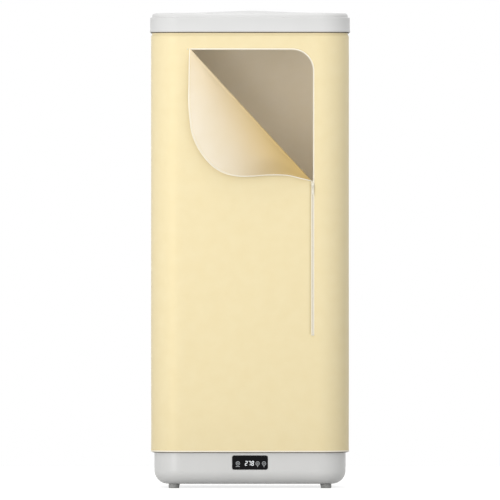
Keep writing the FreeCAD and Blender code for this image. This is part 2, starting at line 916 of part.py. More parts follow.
# the cloth: one wrap of even thickness, cut at the rear seams into a front and a back
def clothWrap(label):
    body = newBody(label)
    roundedBlock(body, "coverX", "coverY", "coverCorner", "coverBottom", "coverTop")
    insideX = "coverX - clothThick"
    insideY = "coverY - clothThick"
    insideCorner = "coverCorner - clothThick"
    roundedHollow(body, insideX, insideY, insideCorner, "coverBottom - past", "coverTop + past")
    return body


def clothHalf(body, low, high):
    away = newSketch(body, "XY_Plane", "coverBottom - past")
    rectangle(away, "-(coverX + past)", "coverX + past", low, high)
    cut(body, away, "coverTop - coverBottom + 2 * past", upward=True)


def coverBack():
    body = clothWrap("cover_back")
    clothHalf(body, "-(coverY + past)", "seamSetback")
    return body


# a point on a line beside the zip's centre line, where the cloth starts to roll over
def foldX(level):
    return f"(-doorHalf + (doorTop - ({level})) / tan(foldAngle) - foldGap / sin(foldAngle))"


def foldZ(x):
    return f"(doorTop - (({x}) + doorHalf + foldGap / sin(foldAngle)) * tan(foldAngle))"


# the door's upper right corner, from its top edge round to its upright one
def doorBend(x, z, radius):
    left = f"({x}) - ({radius})"
    low = f"({z}) - ({radius})"
    return ((left, z), (left, low), (x, low))


def coverFront():
    body = clothWrap("cover_front")
    clothHalf(body, "seamSetback", "coverY + past")
    door = newSketch(body, "XZ_Plane", "coverY + past")
    top = "doorTop + rowFar"
    near = "doorHalf - rowFar"
    far = "doorHalf + rowFar"
    polygon(
        door,
        [
            (foldX(top), top),
            doorBend(far, top, "doorCorner + rowFar"),
            (far, "zipBottom"),
            (near, "zipBottom"),
            (near, foldZ(near)),
        ],
    )
    cut(body, door, "coverDepth / 2")
    return body


# the flap's own frame: x along the fold from its upper end, z across it towards the opening
def flapBody(label):
    body = newBody(label, "-doorHalf", "-clothMiddle", "doorTop")
    body.Placement.Rotation = Rotation(inward, 1)
    bind(body, "Placement.Rotation.Angle", "foldAngle")
    return body


# where the folded part, inset from the zip's centre line, leaves the roll at either end
def foldStart(inset):
    return f"(({inset}) / sin(foldAngle) + rollLong / tan(foldAngle))"


def foldStop(inset):
    return f"(foldLong - ({inset}) / cos(foldAngle) - rollLong * tan(foldAngle))"


# outline of the folded part: its two legs meet at a right angle, rounded like the opening's corner
def flapOutline(inset, spill):
    start = foldStart(inset)
    long = f"({foldStop(inset)} - {start})"
    radius = f"(doorCorner - ({inset}))"
    tipX = f"({start} + {long} * cos(foldAngle) ^ 2)"
    tipZ = f"(-{long} * cos(foldAngle) * sin(foldAngle))"
    rise = f"{radius} * cos(foldAngle)"
    run = f"{radius} * sin(foldAngle)"
    tip = (
        (f"{tipX} - {rise}", f"{tipZ} + {run}"),
        (f"{tipX} - {rise} + {run}", f"{tipZ} + {run} + {rise}"),
        (f"{tipX} + {run}", f"{tipZ} + {rise}"),
    )
    return [
        (f"{start} - ({spill}) / tan(foldAngle)", spill),
        tip,
        (f"{start} + {long} + ({spill}) * tan(foldAngle)", spill),
    ]


# the cloth rolls over in a half round, then hangs down in front of the cover
def doorFlap():
    body = flapBody("door_flap")
    start = foldStart("rowFar")
    long = f"{foldStop('rowFar')} - {start}"
    outside = "foldRadius + clothThick / 2"
    roll = newSketch(body, "YZ_Plane", start)
    circle(roll, "-foldRadius", 0, outside)
    circle(roll, "-foldRadius", 0, "foldRadius - clothThick / 2")
    pad(body, roll, long)
    away = newSketch(body, "YZ_Plane", f"{start} - past")
    reach = f"({outside} + past)"
    rectangle(away, f"-foldRadius - {reach}", f"-foldRadius + {reach}", f"-{reach}", "0")
    cut(body, away, f"{long} + 2 * past", upward=True)
    front = newSketch(body, "XZ_Plane", "2 * foldRadius - clothThick / 2")
    polygon(front, flapOutline("rowFar", "0"))
    pad(body, front, "clothThick")
    return body


def zipRowFlap():
    body = flapBody("zip_row_flap")
    outer = newSketch(body, "XZ_Plane", "2 * foldRadius - zipThick / 2")
    polygon(outer, flapOutline("rowNear", "0"))
    pad(body, outer, "zipThick")
    inner = newSketch(body, "XZ_Plane", "2 * foldRadius + zipThick")
    polygon(inner, flapOutline("rowFar", "past"))
    cut(body, inner, "2 * zipThick")
    return body


def zipRowFixed():
    body = newBody("zip_row_fixed")
    profile = newSketch(body, "XZ_Plane", "clothMiddle - zipThick / 2")
    near = doorBend("doorHalf + rowNear", "doorTop + rowNear", "doorCorner + rowNear")
    far = doorBend("doorHalf + rowFar", "doorTop + rowFar", "doorCorner + rowFar")
    polygon(
        profile,
        [
            ("-doorHalf", "doorTop + rowNear"),
            near,
            ("doorHalf + rowNear", "zipBottom"),
            ("doorHalf + rowFar", "zipBottom"),
            far[::-1],
            ("-doorHalf", "doorTop + rowFar"),
        ],
    )
    pad(body, profile, "zipThick")
    return body


def zipRowLower():
    body = newBody("zip_row_lower")
    profile = newSketch(body, "XZ_Plane", "clothMiddle - zipThick / 2")
    rectangle(profile, "doorHalf - rowFar", "doorHalf - rowNear", "zipBottom", "foldEnd")
    pad(body, profile, "zipThick")
    return body


# metal stops that close the two ends of the zip
def zipStop(label, left, right, low, high):
    body = newBody(label)
    block = newSketch(body, "XZ_Plane", "clothMiddle + zipThick / 2")
    rectangle(block, left, right, low, high)
    pad(body, block, "sliderPlate")
    return body


# two shield-shaped plates joined by a neck between the rows, at the place where the cloth is folded
def zipSlider():
    body = newBody("zip_slider", "doorHalf", "-clothMiddle", "foldEnd")
    reach = "zipThick / 2 + sliderGap"
    right = [
        ("sliderTail / 2", "-sliderTall / 2"),
        ("sliderWide / 2", "shoulderLow"),
        ("sliderWide / 2", "shoulderHigh"),
        ("sliderCrown / 2", "sliderTall / 2"),
    ]
    shield = right + [(f"-{x}", z) for x, z in reversed(right)]
    neck = newSketch(body, "XZ_Plane")
    rectangle(neck, "-sliderNeck / 2", "sliderNeck / 2", "neckLow", "neckHigh")
    pad(body, neck, f"2 * ({reach}) + sliderPlate", middle=True)
    front = newSketch(body, "XZ_Plane", reach)
    polygon(front, shield)
    pad(body, front, "sliderPlate")
    rear = newSketch(body, "XZ_Plane", f"-({reach})")
    polygon(rear, shield)
    pad(body, rear, "sliderPlate", backward=True)
    # the eye on the front plate that holds the pull
    face = f"-({reach} + sliderPlate)"
    eye = newSketch(body, "YZ_Plane")
    half = "eyeTall / 2 + eyeWall"
    rectangle(eye, f"{face} - eyeDeep - eyeWall", f"{face} + sliderPlate / 2", f"-({half})", half)
    pad(body, eye, "eyeWide", middle=True)
    gap = newSketch(body, "YZ_Plane")
    rectangle(gap, f"{face} - eyeDeep", face, "-eyeTall / 2", "eyeTall / 2")
    cut(body, gap, None, middle=True)
    return body


# the pull hangs from a round bar in the slider's eye
def zipPull():
    front = "-clothMiddle - zipThick / 2 - sliderGap - sliderPlate - eyeDeep / 2"
    body = newBody("zip_pull", "doorHalf", front, "foldEnd")
    right = [
        ("pullWide / 2", "-pullLong"),
        ("pullWaist / 2", "-waistLow"),
        ("pullWide / 2", "-waistHigh"),
        ("pullWide / 2", "pullThick"),
    ]
    tab = newSketch(body, "XZ_Plane")
    polygon(tab, right + [(f"-{x}", z) for x, z in reversed(right)])
    pad(body, tab, "pullThick", middle=True)
    window = newSketch(body, "XZ_Plane", "pullThick")
    rectangle(window, "-pullSlotWide / 2", "pullSlotWide / 2", "-pullSlotLong", "pullThick + past")
    cut(body, window, "2 * pullThick")
    bar = newSketch(body, "YZ_Plane")
    circle(bar, 0, 0, "pullBarRadius")
    pad(body, bar, "pullBarLong", middle=True)
    return body


made = [
    baseShell(),
    baseDeck(),
    outletGrille(),
    intakeGrille(),
    dustFilter(),
    fanShroud(),
    fanMotor(),
    fanImpeller(),
    heaterFrame(),
    heaterCore(),
    thermostat(),
    displayWindow(),
    controlBoard(),
    rubberFeet(),
    cordGland(),
    postPlugs(),
    topFrame(),
    railSockets(),
    hangingRail(),
    topCover(),
    coverFront(),
    coverBack(),
    doorFlap(),
    zipRowFlap(),
    zipRowFixed(),
    zipRowLower(),
    zipStop(
        "zip_stop_bottom",
        "doorHalf - rowFar",
        "doorHalf + rowFar",
        "zipBottom",
        "zipBottom + stopTall",
    ),
    zipStop(
        "zip_stop_top",
        "-doorHalf",
        "-doorHalf + stopTall",
        "doorTop + rowNear",
        "doorTop + rowFar",
    ),
    zipSlider(),
    zipPull(),
]
for name, (signX, signY) in corners.items():
    made.append(tubePost("post_" + name, signX, signY))
document.recompute()

for item in document.Objects:
    if "Invalid" in item.State or "Error" in item.State:
        raise ValueError(f"{item.Name} did not build")
for item in made:
    if item.Shape.isNull() or not item.Shape.isValid():
        raise ValueError(f"{item.Label} is not a valid solid")

os.makedirs("parts", exist_ok=True)
for item in made:
    item.Shape.exportStep(os.path.join("parts", item.Label + ".step"))
    print(item.Label, len(item.Shape.Solids), round(item.Shape.Volume / 1000, 2))
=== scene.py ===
import math

import bmesh
import bpy
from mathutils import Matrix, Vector, noise


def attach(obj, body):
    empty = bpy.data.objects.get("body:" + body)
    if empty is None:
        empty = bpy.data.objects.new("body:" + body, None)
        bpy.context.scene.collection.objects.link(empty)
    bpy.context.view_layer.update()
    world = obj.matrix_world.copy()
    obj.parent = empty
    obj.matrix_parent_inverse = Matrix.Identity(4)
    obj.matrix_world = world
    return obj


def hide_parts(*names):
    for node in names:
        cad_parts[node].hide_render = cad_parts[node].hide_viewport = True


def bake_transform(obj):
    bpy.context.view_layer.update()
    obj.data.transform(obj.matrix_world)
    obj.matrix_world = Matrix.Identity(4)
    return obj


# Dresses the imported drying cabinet: cloth cover with its folded door corner, zip, lid and display, and sets
# light and camera.
# X runs to the right, Y to the back, Z up, in metres; the settings below are in millimetres.

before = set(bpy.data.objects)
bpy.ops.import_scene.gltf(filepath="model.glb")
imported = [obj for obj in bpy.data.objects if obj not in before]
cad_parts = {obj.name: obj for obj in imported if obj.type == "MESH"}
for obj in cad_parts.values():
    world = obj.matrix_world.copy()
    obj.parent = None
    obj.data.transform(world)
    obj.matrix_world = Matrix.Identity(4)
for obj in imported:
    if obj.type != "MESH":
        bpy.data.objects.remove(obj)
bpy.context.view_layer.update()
print("frame loaded:", len(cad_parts), "nodes")

scene = bpy.context.scene
metre = 0.001


def linear(code):
    parts = [int(code[i:i + 2], 16) / 255 for i in (0, 2, 4)]
    return (*[p / 12.92 if p <= 0.04045 else ((p + 0.055) / 1.055) ** 2.4 for p in parts], 1)


def clamp(x, low=0.0, high=1.0):
    return max(low, min(high, x))


def easeIn(x):
    x = clamp(x)
    return x * x * (3 - 2 * x)


# links come from sockets, or from nodes, which then give their first output
def addNode(tree, kind, settings=None, links=None):
    node = tree.nodes.new("ShaderNode" + kind)
    for name, value in (settings or {}).items():
        if name == "stops":
            ramp = node.color_ramp
            while len(ramp.elements) < len(value):
                ramp.elements.new(1)
            for element, (place, colour) in zip(ramp.elements, value):
                element.position = place
                element.color = colour
        elif isinstance(name, str) and hasattr(node, name):
            setattr(node, name, value)
        else:
            node.inputs[name].default_value = value
    for name, source in (links or {}).items():
        socket = source if isinstance(source, bpy.types.NodeSocket) else source.outputs[0]
        tree.links.new(socket, node.inputs[name])
    return node


def newMaterial(name):
    material = bpy.data.materials.new(name)
    material.use_nodes = True
    material.node_tree.nodes.clear()
    return material, material.node_tree


def finished(material, shader):
    addNode(material.node_tree, "OutputMaterial", links={"Surface": shader})
    return material


# a ramp's two tones, and the shares of its input at which each is reached
def stops(look, low, high):
    dark, light = look["tones"]
    return {"stops": [(low, linear(dark)), (high, linear(light))]}


# moulded plastics, rubber and painted metal share one build: a faint drift of tone and a fine grain
def mouldedFinish(name, look):
    material, tree = newMaterial(name)
    where = addNode(tree, "TexCoord").outputs["Object"]
    drift = addNode(tree, "TexNoise", {"Scale": 1 / (look["drift"] * metre), "Detail": 2}, {"Vector": where})
    tone = addNode(tree, "ValToRGB", stops(look, 0.35, 0.65), {"Fac": drift})
    grain = addNode(tree, "TexNoise", {"Scale": 1 / (look["grain"] * metre), "Detail": 3}, {"Vector": where})
    spread = {"To Min": look["roughness"] - 0.04, "To Max": look["roughness"] + 0.05}
    rough = addNode(tree, "MapRange", spread, {"Value": grain})
    edge = addNode(tree, "Bevel", {"Radius": look["edge"] * metre, "samples": 4})
    bump = addNode(tree, "Bump", {"Strength": look["depth"], "Distance": 0.1 * metre},
                   {"Height": grain, "Normal": edge})
    shader = addNode(tree, "BsdfPrincipled", look.get("shader") or {"IOR": look["ior"]},
                     {"Base Color": tone, "Roughness": rough, "Normal": bump})
    return finished(material, shader)


# drift, grain and edge are sizes in mm; depth is how strongly the grain shows
finishes = {
    # injection-moulded ABS, satin: soft highlights, hardly any texture
    "satinAbs": {"tones": ("d9d9d8", "dddddc"), "drift": 180, "grain": 1.2, "depth": 0.12, "roughness": 0.36,
                 "edge": 1.2, "ior": 1.53},
    # the same ABS as the base, its tones a shade greyer on the lid as painted shade, to offset the stronger
    # light that falls on the lid
    "satinAbsShadedLid": {"tones": ("d0d0cf", "d4d4d3"), "drift": 180, "grain": 1.2, "depth": 0.12,
                    "roughness": 0.38, "edge": 1.2, "ior": 1.53},
    # polypropylene deck and frame, fine spark-eroded grain
    "grainedPolypropylene": {"tones": ("d6d6d4", "dedddb"), "drift": 90, "grain": 0.9, "depth": 0.35,
                             "roughness": 0.55, "edge": 0.8, "ior": 1.49},
    # matt grey grille
    "matteGreyAbs": {"tones": ("5b5c5e", "66676a"), "drift": 60, "grain": 0.8, "depth": 0.3, "roughness": 0.6,
                     "edge": 0.5, "ior": 1.53},
    # open foam of the dust filter: coarse black cells
    "filterFoam": {"tones": ("161617", "2b2b2c"), "drift": 3, "grain": 1.6, "depth": 1.0, "roughness": 0.85,
                   "edge": 0.3, "ior": 1.45},
    # glass-filled nylon of the fan, matt black
    "blackNylon": {"tones": ("1b1b1c", "232325"), "drift": 40, "grain": 0.7, "depth": 0.35, "roughness": 0.5,
                   "edge": 0.5, "ior": 1.53},
    # zinc-plated steel of the motor can
    "platedSteel": {"tones": ("a9a9a6", "c2c1bc"), "drift": 14, "grain": 0.6, "depth": 0.15,
                    "roughness": 0.32, "edge": 0.4, "shader": {"Metallic": 1}},
    # heat-resistant plastic round the heater
    "heatResistantPbt": {"tones": ("37373a", "414145"), "drift": 50, "grain": 0.9, "depth": 0.3,
                         "roughness": 0.6, "edge": 0.5, "ior": 1.55},
    # bare aluminium fins
    "bareAluminium": {"tones": ("c4c5c7", "d8d9da"), "drift": 10, "grain": 0.5, "depth": 0.2,
                      "roughness": 0.38, "edge": 0.3, "shader": {"Metallic": 1}},
    # solder-resist green of the circuit board
    "boardLacquer": {"tones": ("0e4a2b", "17603a"), "drift": 5, "grain": 1.0, "depth": 0.2, "roughness": 0.35,
                     "edge": 0.2, "shader": {"Coat Weight": 0.3}},
    # black nitrile rubber of the gland
    "blackNitrile": {"tones": ("1a1a1a", "262626"), "drift": 8, "grain": 0.8, "depth": 0.4, "roughness": 0.7,
                     "edge": 0.6, "ior": 1.52},
    # painted shade: the matt dark khaki of the cords that stand for the shade lines under the hem and the lid
    "paintedShadeCord": {"tones": ("4d4638", "5a5242"), "drift": 6, "grain": 1.0, "depth": 0.6, "roughness": 0.85,
                 "edge": 0.2, "ior": 1.45},
    # grey rubber feet, a little dusty
    "greyRubber": {"tones": ("969694", "a6a6a4"), "drift": 12, "grain": 0.9, "depth": 0.4, "roughness": 0.68,
                   "edge": 1.0, "ior": 1.52},
    # powder-coated steel tube, slight orange peel
    "powderCoat": {"tones": ("d8d8d6", "e2e2e0"), "drift": 60, "grain": 1.8, "depth": 0.35, "roughness": 0.42,
                   "edge": 0.4, "shader": {"Coat Weight": 0.15}},
    # enamelled zinc of the zip slider, pull and stops
    "creamEnamel": {"tones": ("e4dfcd", "ebe6d6"), "drift": 6, "grain": 0.7, "depth": 0.1, "roughness": 0.26,
                    "edge": 0.35, "shader": {"Coat Weight": 0.4}},
    # spun polyester sewing thread, matt, a touch darker than the cloth
    "sewingThread": {"tones": ("e6d19a", "efdcab"), "drift": 15, "grain": 0.5, "depth": 0.4,
                     "roughness": 0.75, "edge": 0.1, "ior": 1.5},
    # zinc-plated screws under the base
    "platedScrew": {"tones": ("b4b3ae", "cbcac5"), "drift": 5, "grain": 0.4, "depth": 0.12, "roughness": 0.3,
                    "edge": 0.2, "shader": {"Metallic": 1}},
    # acetal zip teeth, translucent cream white
    "creamAcetal": {"tones": ("f1ead8", "f7f2e4"), "drift": 9, "grain": 0.6, "depth": 0.1, "roughness": 0.4,
                    "edge": 0.2, "ior": 1.48},
}
materials = {name: mouldedFinish(name, look) for name, look in finishes.items()}


# woven polyester of the cover: plain weave over the sheet's own map, a faint sheen from the calendered face
clothFace = {
    "tones": ("f6e6b9", "f8e9be"),
    "thread": 1.6,  # really about 0.4 mm, drawn coarser so that it shows close up
    "slub": 40,
    "weaveDepth": 0.14,
    "shader": {"Roughness": 0.42, "IOR": 1.5, "Specular IOR Level": 0.3, "Specular Tint": linear("f5dfa8")},
    "through": "f3dc9c",
    "throughShare": 0.07,
}
# the cloth's inside: a thin matt coating, paler than the face
clothInside = {
    **clothFace,
    "tones": ("f4e8cf", "f6ebd5"),
    "slub": 60,
    "weaveDepth": 0.1,
    "shader": {"Roughness": 0.6, "IOR": 1.45, "Sheen Weight": 0.05},
}


# painted shade along a fold, where there is one: a darker tone near the fold, which runs out along a
# direction of the flat cut
def wovenCloth(name, look, foldShade=None):
    material, tree = newMaterial(name)
    where = addNode(tree, "UVMap", {"uv_map": "flat"}).outputs["UV"]
    waves = []
    for direction in ("X", "Y"):
        bands = {"bands_direction": direction, "Scale": 0.31 / (look["thread"] * metre), "Distortion": 0.6,
                 "Detail": 1, "Detail Scale": 0.5}
        waves.append(addNode(tree, "TexWave", bands, {"Vector": where}))
    weave = addNode(tree, "Math", {"operation": "MULTIPLY"},
                    {0: waves[0].outputs["Fac"], 1: waves[1].outputs["Fac"]})
    slub = addNode(tree, "TexNoise", {"Scale": 1 / (look["slub"] * metre), "Detail": 4}, {"Vector": where})
    colour = addNode(tree, "ValToRGB", stops(look, 0.3, 0.7), {"Fac": slub})
    # painted shade: the fold's darker tone mixed over the cloth's colour
    if foldShade:
        along = addNode(tree, "VectorMath", {"operation": "DOT_PRODUCT", 1: foldShade["away"]}, {0: where})
        spread = {"interpolation_type": "SMOOTHSTEP", "From Min": foldShade["start"], "From Max": foldShade["end"]}
        reach = addNode(tree, "MapRange", spread, {"Value": along.outputs["Value"]})
        tint = addNode(tree, "Mix", {"data_type": "RGBA", "blend_type": "MIX", 6: linear(foldShade["tone"])},
                       {"Factor": reach, 7: colour})
        colour = tint.outputs[2]
    bump = addNode(tree, "Bump", {"Strength": look["weaveDepth"], "Distance": 0.15 * metre},
                   {"Height": weave})
    face = addNode(tree, "BsdfPrincipled", look["shader"], {"Base Color": colour, "Normal": bump})
    glow = addNode(tree, "BsdfTranslucent", {"Color": linear(look["through"])}, {"Normal": bump})
    both = addNode(tree, "MixShader", {"Fac": look["throughShare"]}, {1: face, 2: glow})
    return finished(material, both)


materials["wovenPolyester"] = wovenCloth("wovenPolyester", clothFace)
materials["coatedInside"] = wovenCloth("coatedInside", clothInside)

# binding tape and zip tape: tight ribbed weave, paler than the cloth
bindingLook = {"tones": ("f6eedb", "fbf5e6"), "rib": 1.4}


def ribbedTape(name, look):
    material, tree = newMaterial(name)
    where = addNode(tree, "TexCoord").outputs["Object"]
    rib = addNode(tree, "TexWave",
                  {"bands_direction": "DIAGONAL", "Scale": 0.31 / (look["rib"] * metre), "Distortion": 1.0},
                  {"Vector": where})
    tone = addNode(tree, "ValToRGB", stops(look, 0.2, 0.8), {"Fac": rib.outputs["Fac"]})
    bump = addNode(tree, "Bump", {"Strength": 0.3, "Distance": 0.2 * metre}, {"Height": rib.outputs["Fac"]})
    shader = addNode(tree, "BsdfPrincipled",
                     {"Roughness": 0.7, "IOR": 1.45, "Specular IOR Level": 0.3, "Sheen Weight": 0.1},
                     {"Base Color": tone, "Normal": bump})
    return finished(material, shader)


materials["bindingTape"] = ribbedTape("bindingTape", bindingLook)

# smoked acrylic window over the display: deep black, sharp reflections, very fine wipe marks
acrylicLook = {"tone": "08080a", "wipe": 22}


def smokedAcrylic(name, look):
    material, tree = newMaterial(name)
    where = addNode(tree, "TexCoord").outputs["Object"]
    marks = addNode(tree, "TexNoise", {"Scale": 1 / (look["wipe"] * metre), "Detail": 5}, {"Vector": where})
    rough = addNode(tree, "MapRange", {"To Min": 0.06, "To Max": 0.16}, {"Value": marks})
    shader = addNode(tree, "BsdfPrincipled",
                     {"Base Color": linear(look["tone"]), "IOR": 1.49, "Specular IOR Level": 0.12},
                     {"Roughness": rough})
    return finished(material, shader)


materials["smokedAcrylic"] = smokedAcrylic("smokedAcrylic", acrylicLook)


# lit digits and printed icons behind the window, faintly mottled
printLooks = {
    "litDigits": {"tones": ("d9dde0", "eef1f2"), "cells": 700, "glow": 0.45},
    "printedIcon": {"tones": ("8f9294", "a7aaac"), "cells": 700, "glow": 0.12},
}


def litPrint(name, look):
    material, tree = newMaterial(name)
    where = addNode(tree, "TexCoord").outputs["Object"]
    cells = addNode(tree, "TexNoise", {"Scale": look["cells"], "Detail": 1}, {"Vector": where})
    colour = addNode(tree, "ValToRGB", stops(look, 0.3, 0.7), {"Fac": cells})
    shader = addNode(tree, "BsdfPrincipled", {"Roughness": 0.4, "Emission Strength": look["glow"]},
                     {"Base Color": colour, "Emission Color": colour})
    return finished(material, shader)


for name, look in printLooks.items():
    materials[name] = litPrint(name, look)

finishNodes = {
    "satinAbs": ["base_shell"],
    "satinAbsShadedLid": ["top_cover"],
    "grainedPolypropylene": ["base_deck", "top_frame", "rail_sockets"],
    "matteGreyAbs": ["outlet_grille", "intake_grille"],
    "filterFoam": ["dust_filter"],
    "blackNylon": ["fan_shroud", "fan_impeller", "post_plugs"],
    "platedSteel": ["fan_motor", "thermostat"],
    "heatResistantPbt": ["heater_frame"],
    "bareAluminium": ["heater_core"],
    "smokedAcrylic": ["display_window"],
    "boardLacquer": ["control_board"],
    "blackNitrile": ["cord_gland"],
    "greyRubber": ["rubber_feet"],
    "powderCoat": ["hanging_rail", "post_front_left", "post_front_right", "post_rear_left",
                   "post_rear_right"],
    "wovenPolyester": ["cover_front", "cover_back", "door_flap"],
    "creamAcetal": ["zip_row_flap", "zip_row_fixed", "zip_row_lower"],
    "creamEnamel": ["zip_stop_bottom", "zip_stop_top", "zip_slider", "zip_pull"],
}
for finish, nodes in finishNodes.items():
    for node in nodes:
        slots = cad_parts[node].data.materials
        slots.clear()
        slots.append(materials[finish])
print("materials made:", len(materials))


def newPiece(name, mesh, finish, body="cabinet", smooth=None):
    data = bpy.data.meshes.new(name)
    mesh.to_mesh(data)
    mesh.free()
    piece = bpy.data.objects.new(name, data)
    scene.collection.objects.link(piece)
    data.materials.append(materials[finish])
    if smooth is not None:
        data.shade_smooth()
        data.set_sharp_from_angle(angle=math.radians(smooth))
    if body:
        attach(piece, body)
    return piece


# a grid whose shares (0..1, 0..1) go to places in space; its map keeps the flat cut of the cloth
def addPatch(mesh, across, up, place, flat):
    made = bmesh.ops.create_grid(mesh, x_segments=across, y_segments=up, size=1)
    shares = {vertex: ((vertex.co.x + 1) / 2, (vertex.co.y + 1) / 2) for vertex in made["verts"]}
    layer = mesh.loops.layers.uv.get("flat") or mesh.loops.layers.uv.new("flat")
    for face in {face for vertex in made["verts"] for face in vertex.link_faces}:
        for loop in face.loops:
            loop[layer].uv = flat(*shares[loop.vert])
    for vertex, share in shares.items():
        vertex.co = place(*share)


weldGap = 0.02  # points nearer than this are one


def weld(mesh):
    bmesh.ops.remove_doubles(mesh, verts=mesh.verts, dist=weldGap * metre)


# a round cord swept along points, as a mesh
def sweep(name, points, radius, finish, body, closed=False):
    curve = bpy.data.curves.new(name + "Path", "CURVE")
    curve.dimensions = "3D"
    curve.bevel_depth = radius * metre
    curve.bevel_resolution = 3
    curve.use_fill_caps = not closed
    spline = curve.splines.new("POLY")
    spline.points.add(len(points) - 1)
    for point, place in zip(spline.points, points):
        point.co = (*place, 1)
    spline.use_cyclic_u = closed
    path = bpy.data.objects.new(name + "Path", curve)
    scene.collection.objects.link(path)
    bpy.context.view_layer.update()
    data = bpy.data.meshes.new_from_object(path.evaluated_get(bpy.context.evaluated_depsgraph_get()))
    bpy.data.objects.remove(path)
    mesh = bmesh.new()
    mesh.from_mesh(data)
    bpy.data.meshes.remove(data)
    return newPiece(name, mesh, finish, body, smooth=180)


lid = {
    "halfX": 300,
    "halfY": 225,
    "corner": 92.8,
    "bottom": 1370,
    "band": 1414,
    "tier": 1427,
    "step": 6,
    "wall": 2.5,
    "edge": 3,
    "tierEdge": 9,
    "lip": 0.9,
    "lipTall": 4,
    "lipFade": 1.5,
    # height of the top over its rim at shares of the way from the rim to the middle
    "crown": [(0.02, 0.15), (0.07, 0.4), (0.16, 0.9), (0.3, 1.7), (0.45, 2.9), (0.58, 4.3), (0.7, 5.9),
              (0.8, 7.2), (0.9, 8.4), (0.97, 8.95), (0.995, 9.0)],
    "ventCount": 12,
    "ventPitch": 30,
    "ventWide": 20,
    "ventLow": 1402,
    "ventHigh": 1409.5,
}
cover = {
    "halfX": 296.6,  # middle of the cloth's thickness
    "halfY": 221.6,
    "corner": 89.4,
    "bottom": 110,
    "top": 1400,
    "thick": 1.2,
    "seamSetback": 60,  # how far behind the middle of each side its seam lies
    "slack": 0.7,  # how far the cloth wanders in and out, and over what width and height
    "waves": (130, 330),
    "held": 90,  # it wanders less this near its held edges
    "tuck": 3.0,  # how far it draws in where the lid grips it
}
door = {
    "top": 1320.3,
    "right": 192.3,
    "slitLeft": 184.7,
    "corner": 66.3,
    "zipBottom": 459.5,
    "foldStart": (-180.4, 1320.3),
    "foldEnd": (184.7, 923.3),
    "rollRadius": 8,
    "rollEnds": 8,  # reach at which the roll has half its radius
    "lift": 21,  # how far the folded corner bellies out beyond its roll
    "ripple": 0.9,
    "full": 150,  # reach from which belly and ripple are at their full size
    # reach of the folded corner beside the fold: distance along it, distance from it
    "reach": [(0, 0), (14, 14.5), (69, 67), (113, 109), (152, 140), (193, 168), (244, 185), (298, 189),
              (341, 178.5), (378, 154), (407, 123), (438, 84), (477, 43), (510, 20), (539.3, 0)],
}

straightX = cover["halfX"] - cover["corner"]
straightY = cover["halfY"] - cover["corner"]
quarter = cover["corner"] * math.pi / 2
seamRun = straightX + quarter + straightY + cover["seamSetback"]
halfRun = 2 * straightX + 2 * quarter + 2 * straightY


# the cloth's place from its run round the cabinet (0 in the middle of the front) and its height
def coverPoint(run, height, out=0.0):
    side = 1 if run >= 0 else -1
    far = abs(run)
    stages = (straightX, quarter, 2 * straightY, quarter, straightX)
    if far <= stages[0]:
        x, y, nx, ny = far, -cover["halfY"], 0, -1
    elif far <= sum(stages[:2]):
        turn = (far - stages[0]) / cover["corner"]
        nx, ny = math.sin(turn), -math.cos(turn)
        x, y = straightX + cover["corner"] * nx, -straightY + cover["corner"] * ny
    elif far <= sum(stages[:3]):
        x, y, nx, ny = cover["halfX"], far - sum(stages[:2]) - straightY, 1, 0
    elif far <= sum(stages[:4]):
        turn = (far - sum(stages[:3])) / cover["corner"]
        nx, ny = math.cos(turn), math.sin(turn)
        x, y = straightX + cover["corner"] * nx, straightY + cover["corner"] * ny
    else:
        x, y, nx, ny = straightX - (far - sum(stages[:4])), cover["halfY"], 0, 1
    calm = easeIn((height - cover["bottom"]) / cover["held"])
    calm *= easeIn((cover["top"] - 40 - height) / cover["held"])
    wide, tall = cover["waves"]
    wave = noise.noise(Vector((x * side / wide, y / wide, height / tall)))
    grip = easeIn((height - lid["bottom"] + 14) / 8) * (1 - easeIn((height - lid["bottom"] + 5) / 6.5))
    out += cover["slack"] * calm * wave - cover["tuck"] * grip
    return Vector((side * (x + nx * out), y + ny * out, height)) * metre


# value of a smooth curve through points, at a distance along them
def through(points, at):
    for index in range(len(points) - 1):
        if at <= points[index + 1][0] or index == len(points) - 2:
            break
    x0, y0 = points[index]
    x1, y1 = points[index + 1]
    before = points[index - 1] if index else points[index]
    after = points[index + 2] if index + 2 < len(points) else points[index + 1]
    slope0 = (y1 - before[1]) / (x1 - before[0])
    slope1 = (after[1] - y0) / (after[0] - x0)
    step = x1 - x0
    t = clamp((at - x0) / step)
    return (
        y0 * (2 * t ** 3 - 3 * t ** 2 + 1)
        + slope0 * step * (t ** 3 - 2 * t ** 2 + t)
        + y1 * (3 * t ** 2 - 2 * t ** 3)
        + slope1 * step * (t ** 3 - t ** 2)
    )


foldA = Vector(door["foldStart"])
foldB = Vector(door["foldEnd"])
foldLong = (foldB - foldA).length
foldAlong = (foldB - foldA) / foldLong
foldOut = Vector((-foldAlong.y, foldAlong.x))  # towards the opening


def foldReach(share):
    return through(door["reach"], share * foldLong)


def rollRadius(share):
    reach = foldReach(share)
    return door["rollRadius"] * reach / (reach + door["rollEnds"])


# where the cloth leaves the front to roll over
def foldRoot(share):
    return foldA + foldAlong * share * foldLong - foldOut * rollRadius(share)


# a point of the folded corner: share along the fold, share across it, the roll first
rollShare = 0.25


def flapPlace(share, across, out=0.0):
    radius = rollRadius(share)
    reach = foldReach(share)
    base = foldA + foldAlong * share * foldLong
    root = foldRoot(share)
    start = coverPoint(root.x, root.y).y / metre
    if across <= rollShare:
        turn = math.pi * across / rollShare
        beside = -radius + (radius + out) * math.sin(turn)
        depth = radius - (radius + out) * math.cos(turn)
    else:
        part = (across - rollShare) / (1 - rollShare)
        beside = -radius - part * (reach - radius)
        belly = math.sin(math.pi * part ** 0.75)
        ripple = door["ripple"] * math.sin(3 * math.pi * part) * math.sin(2.6 * math.pi * share)
        depth = 2 * radius + out + (door["lift"] * belly + ripple) * easeIn(reach / door["full"])
    spot = base + foldOut * beside
    return Vector((spot.x, start - depth, spot.y)) * metre


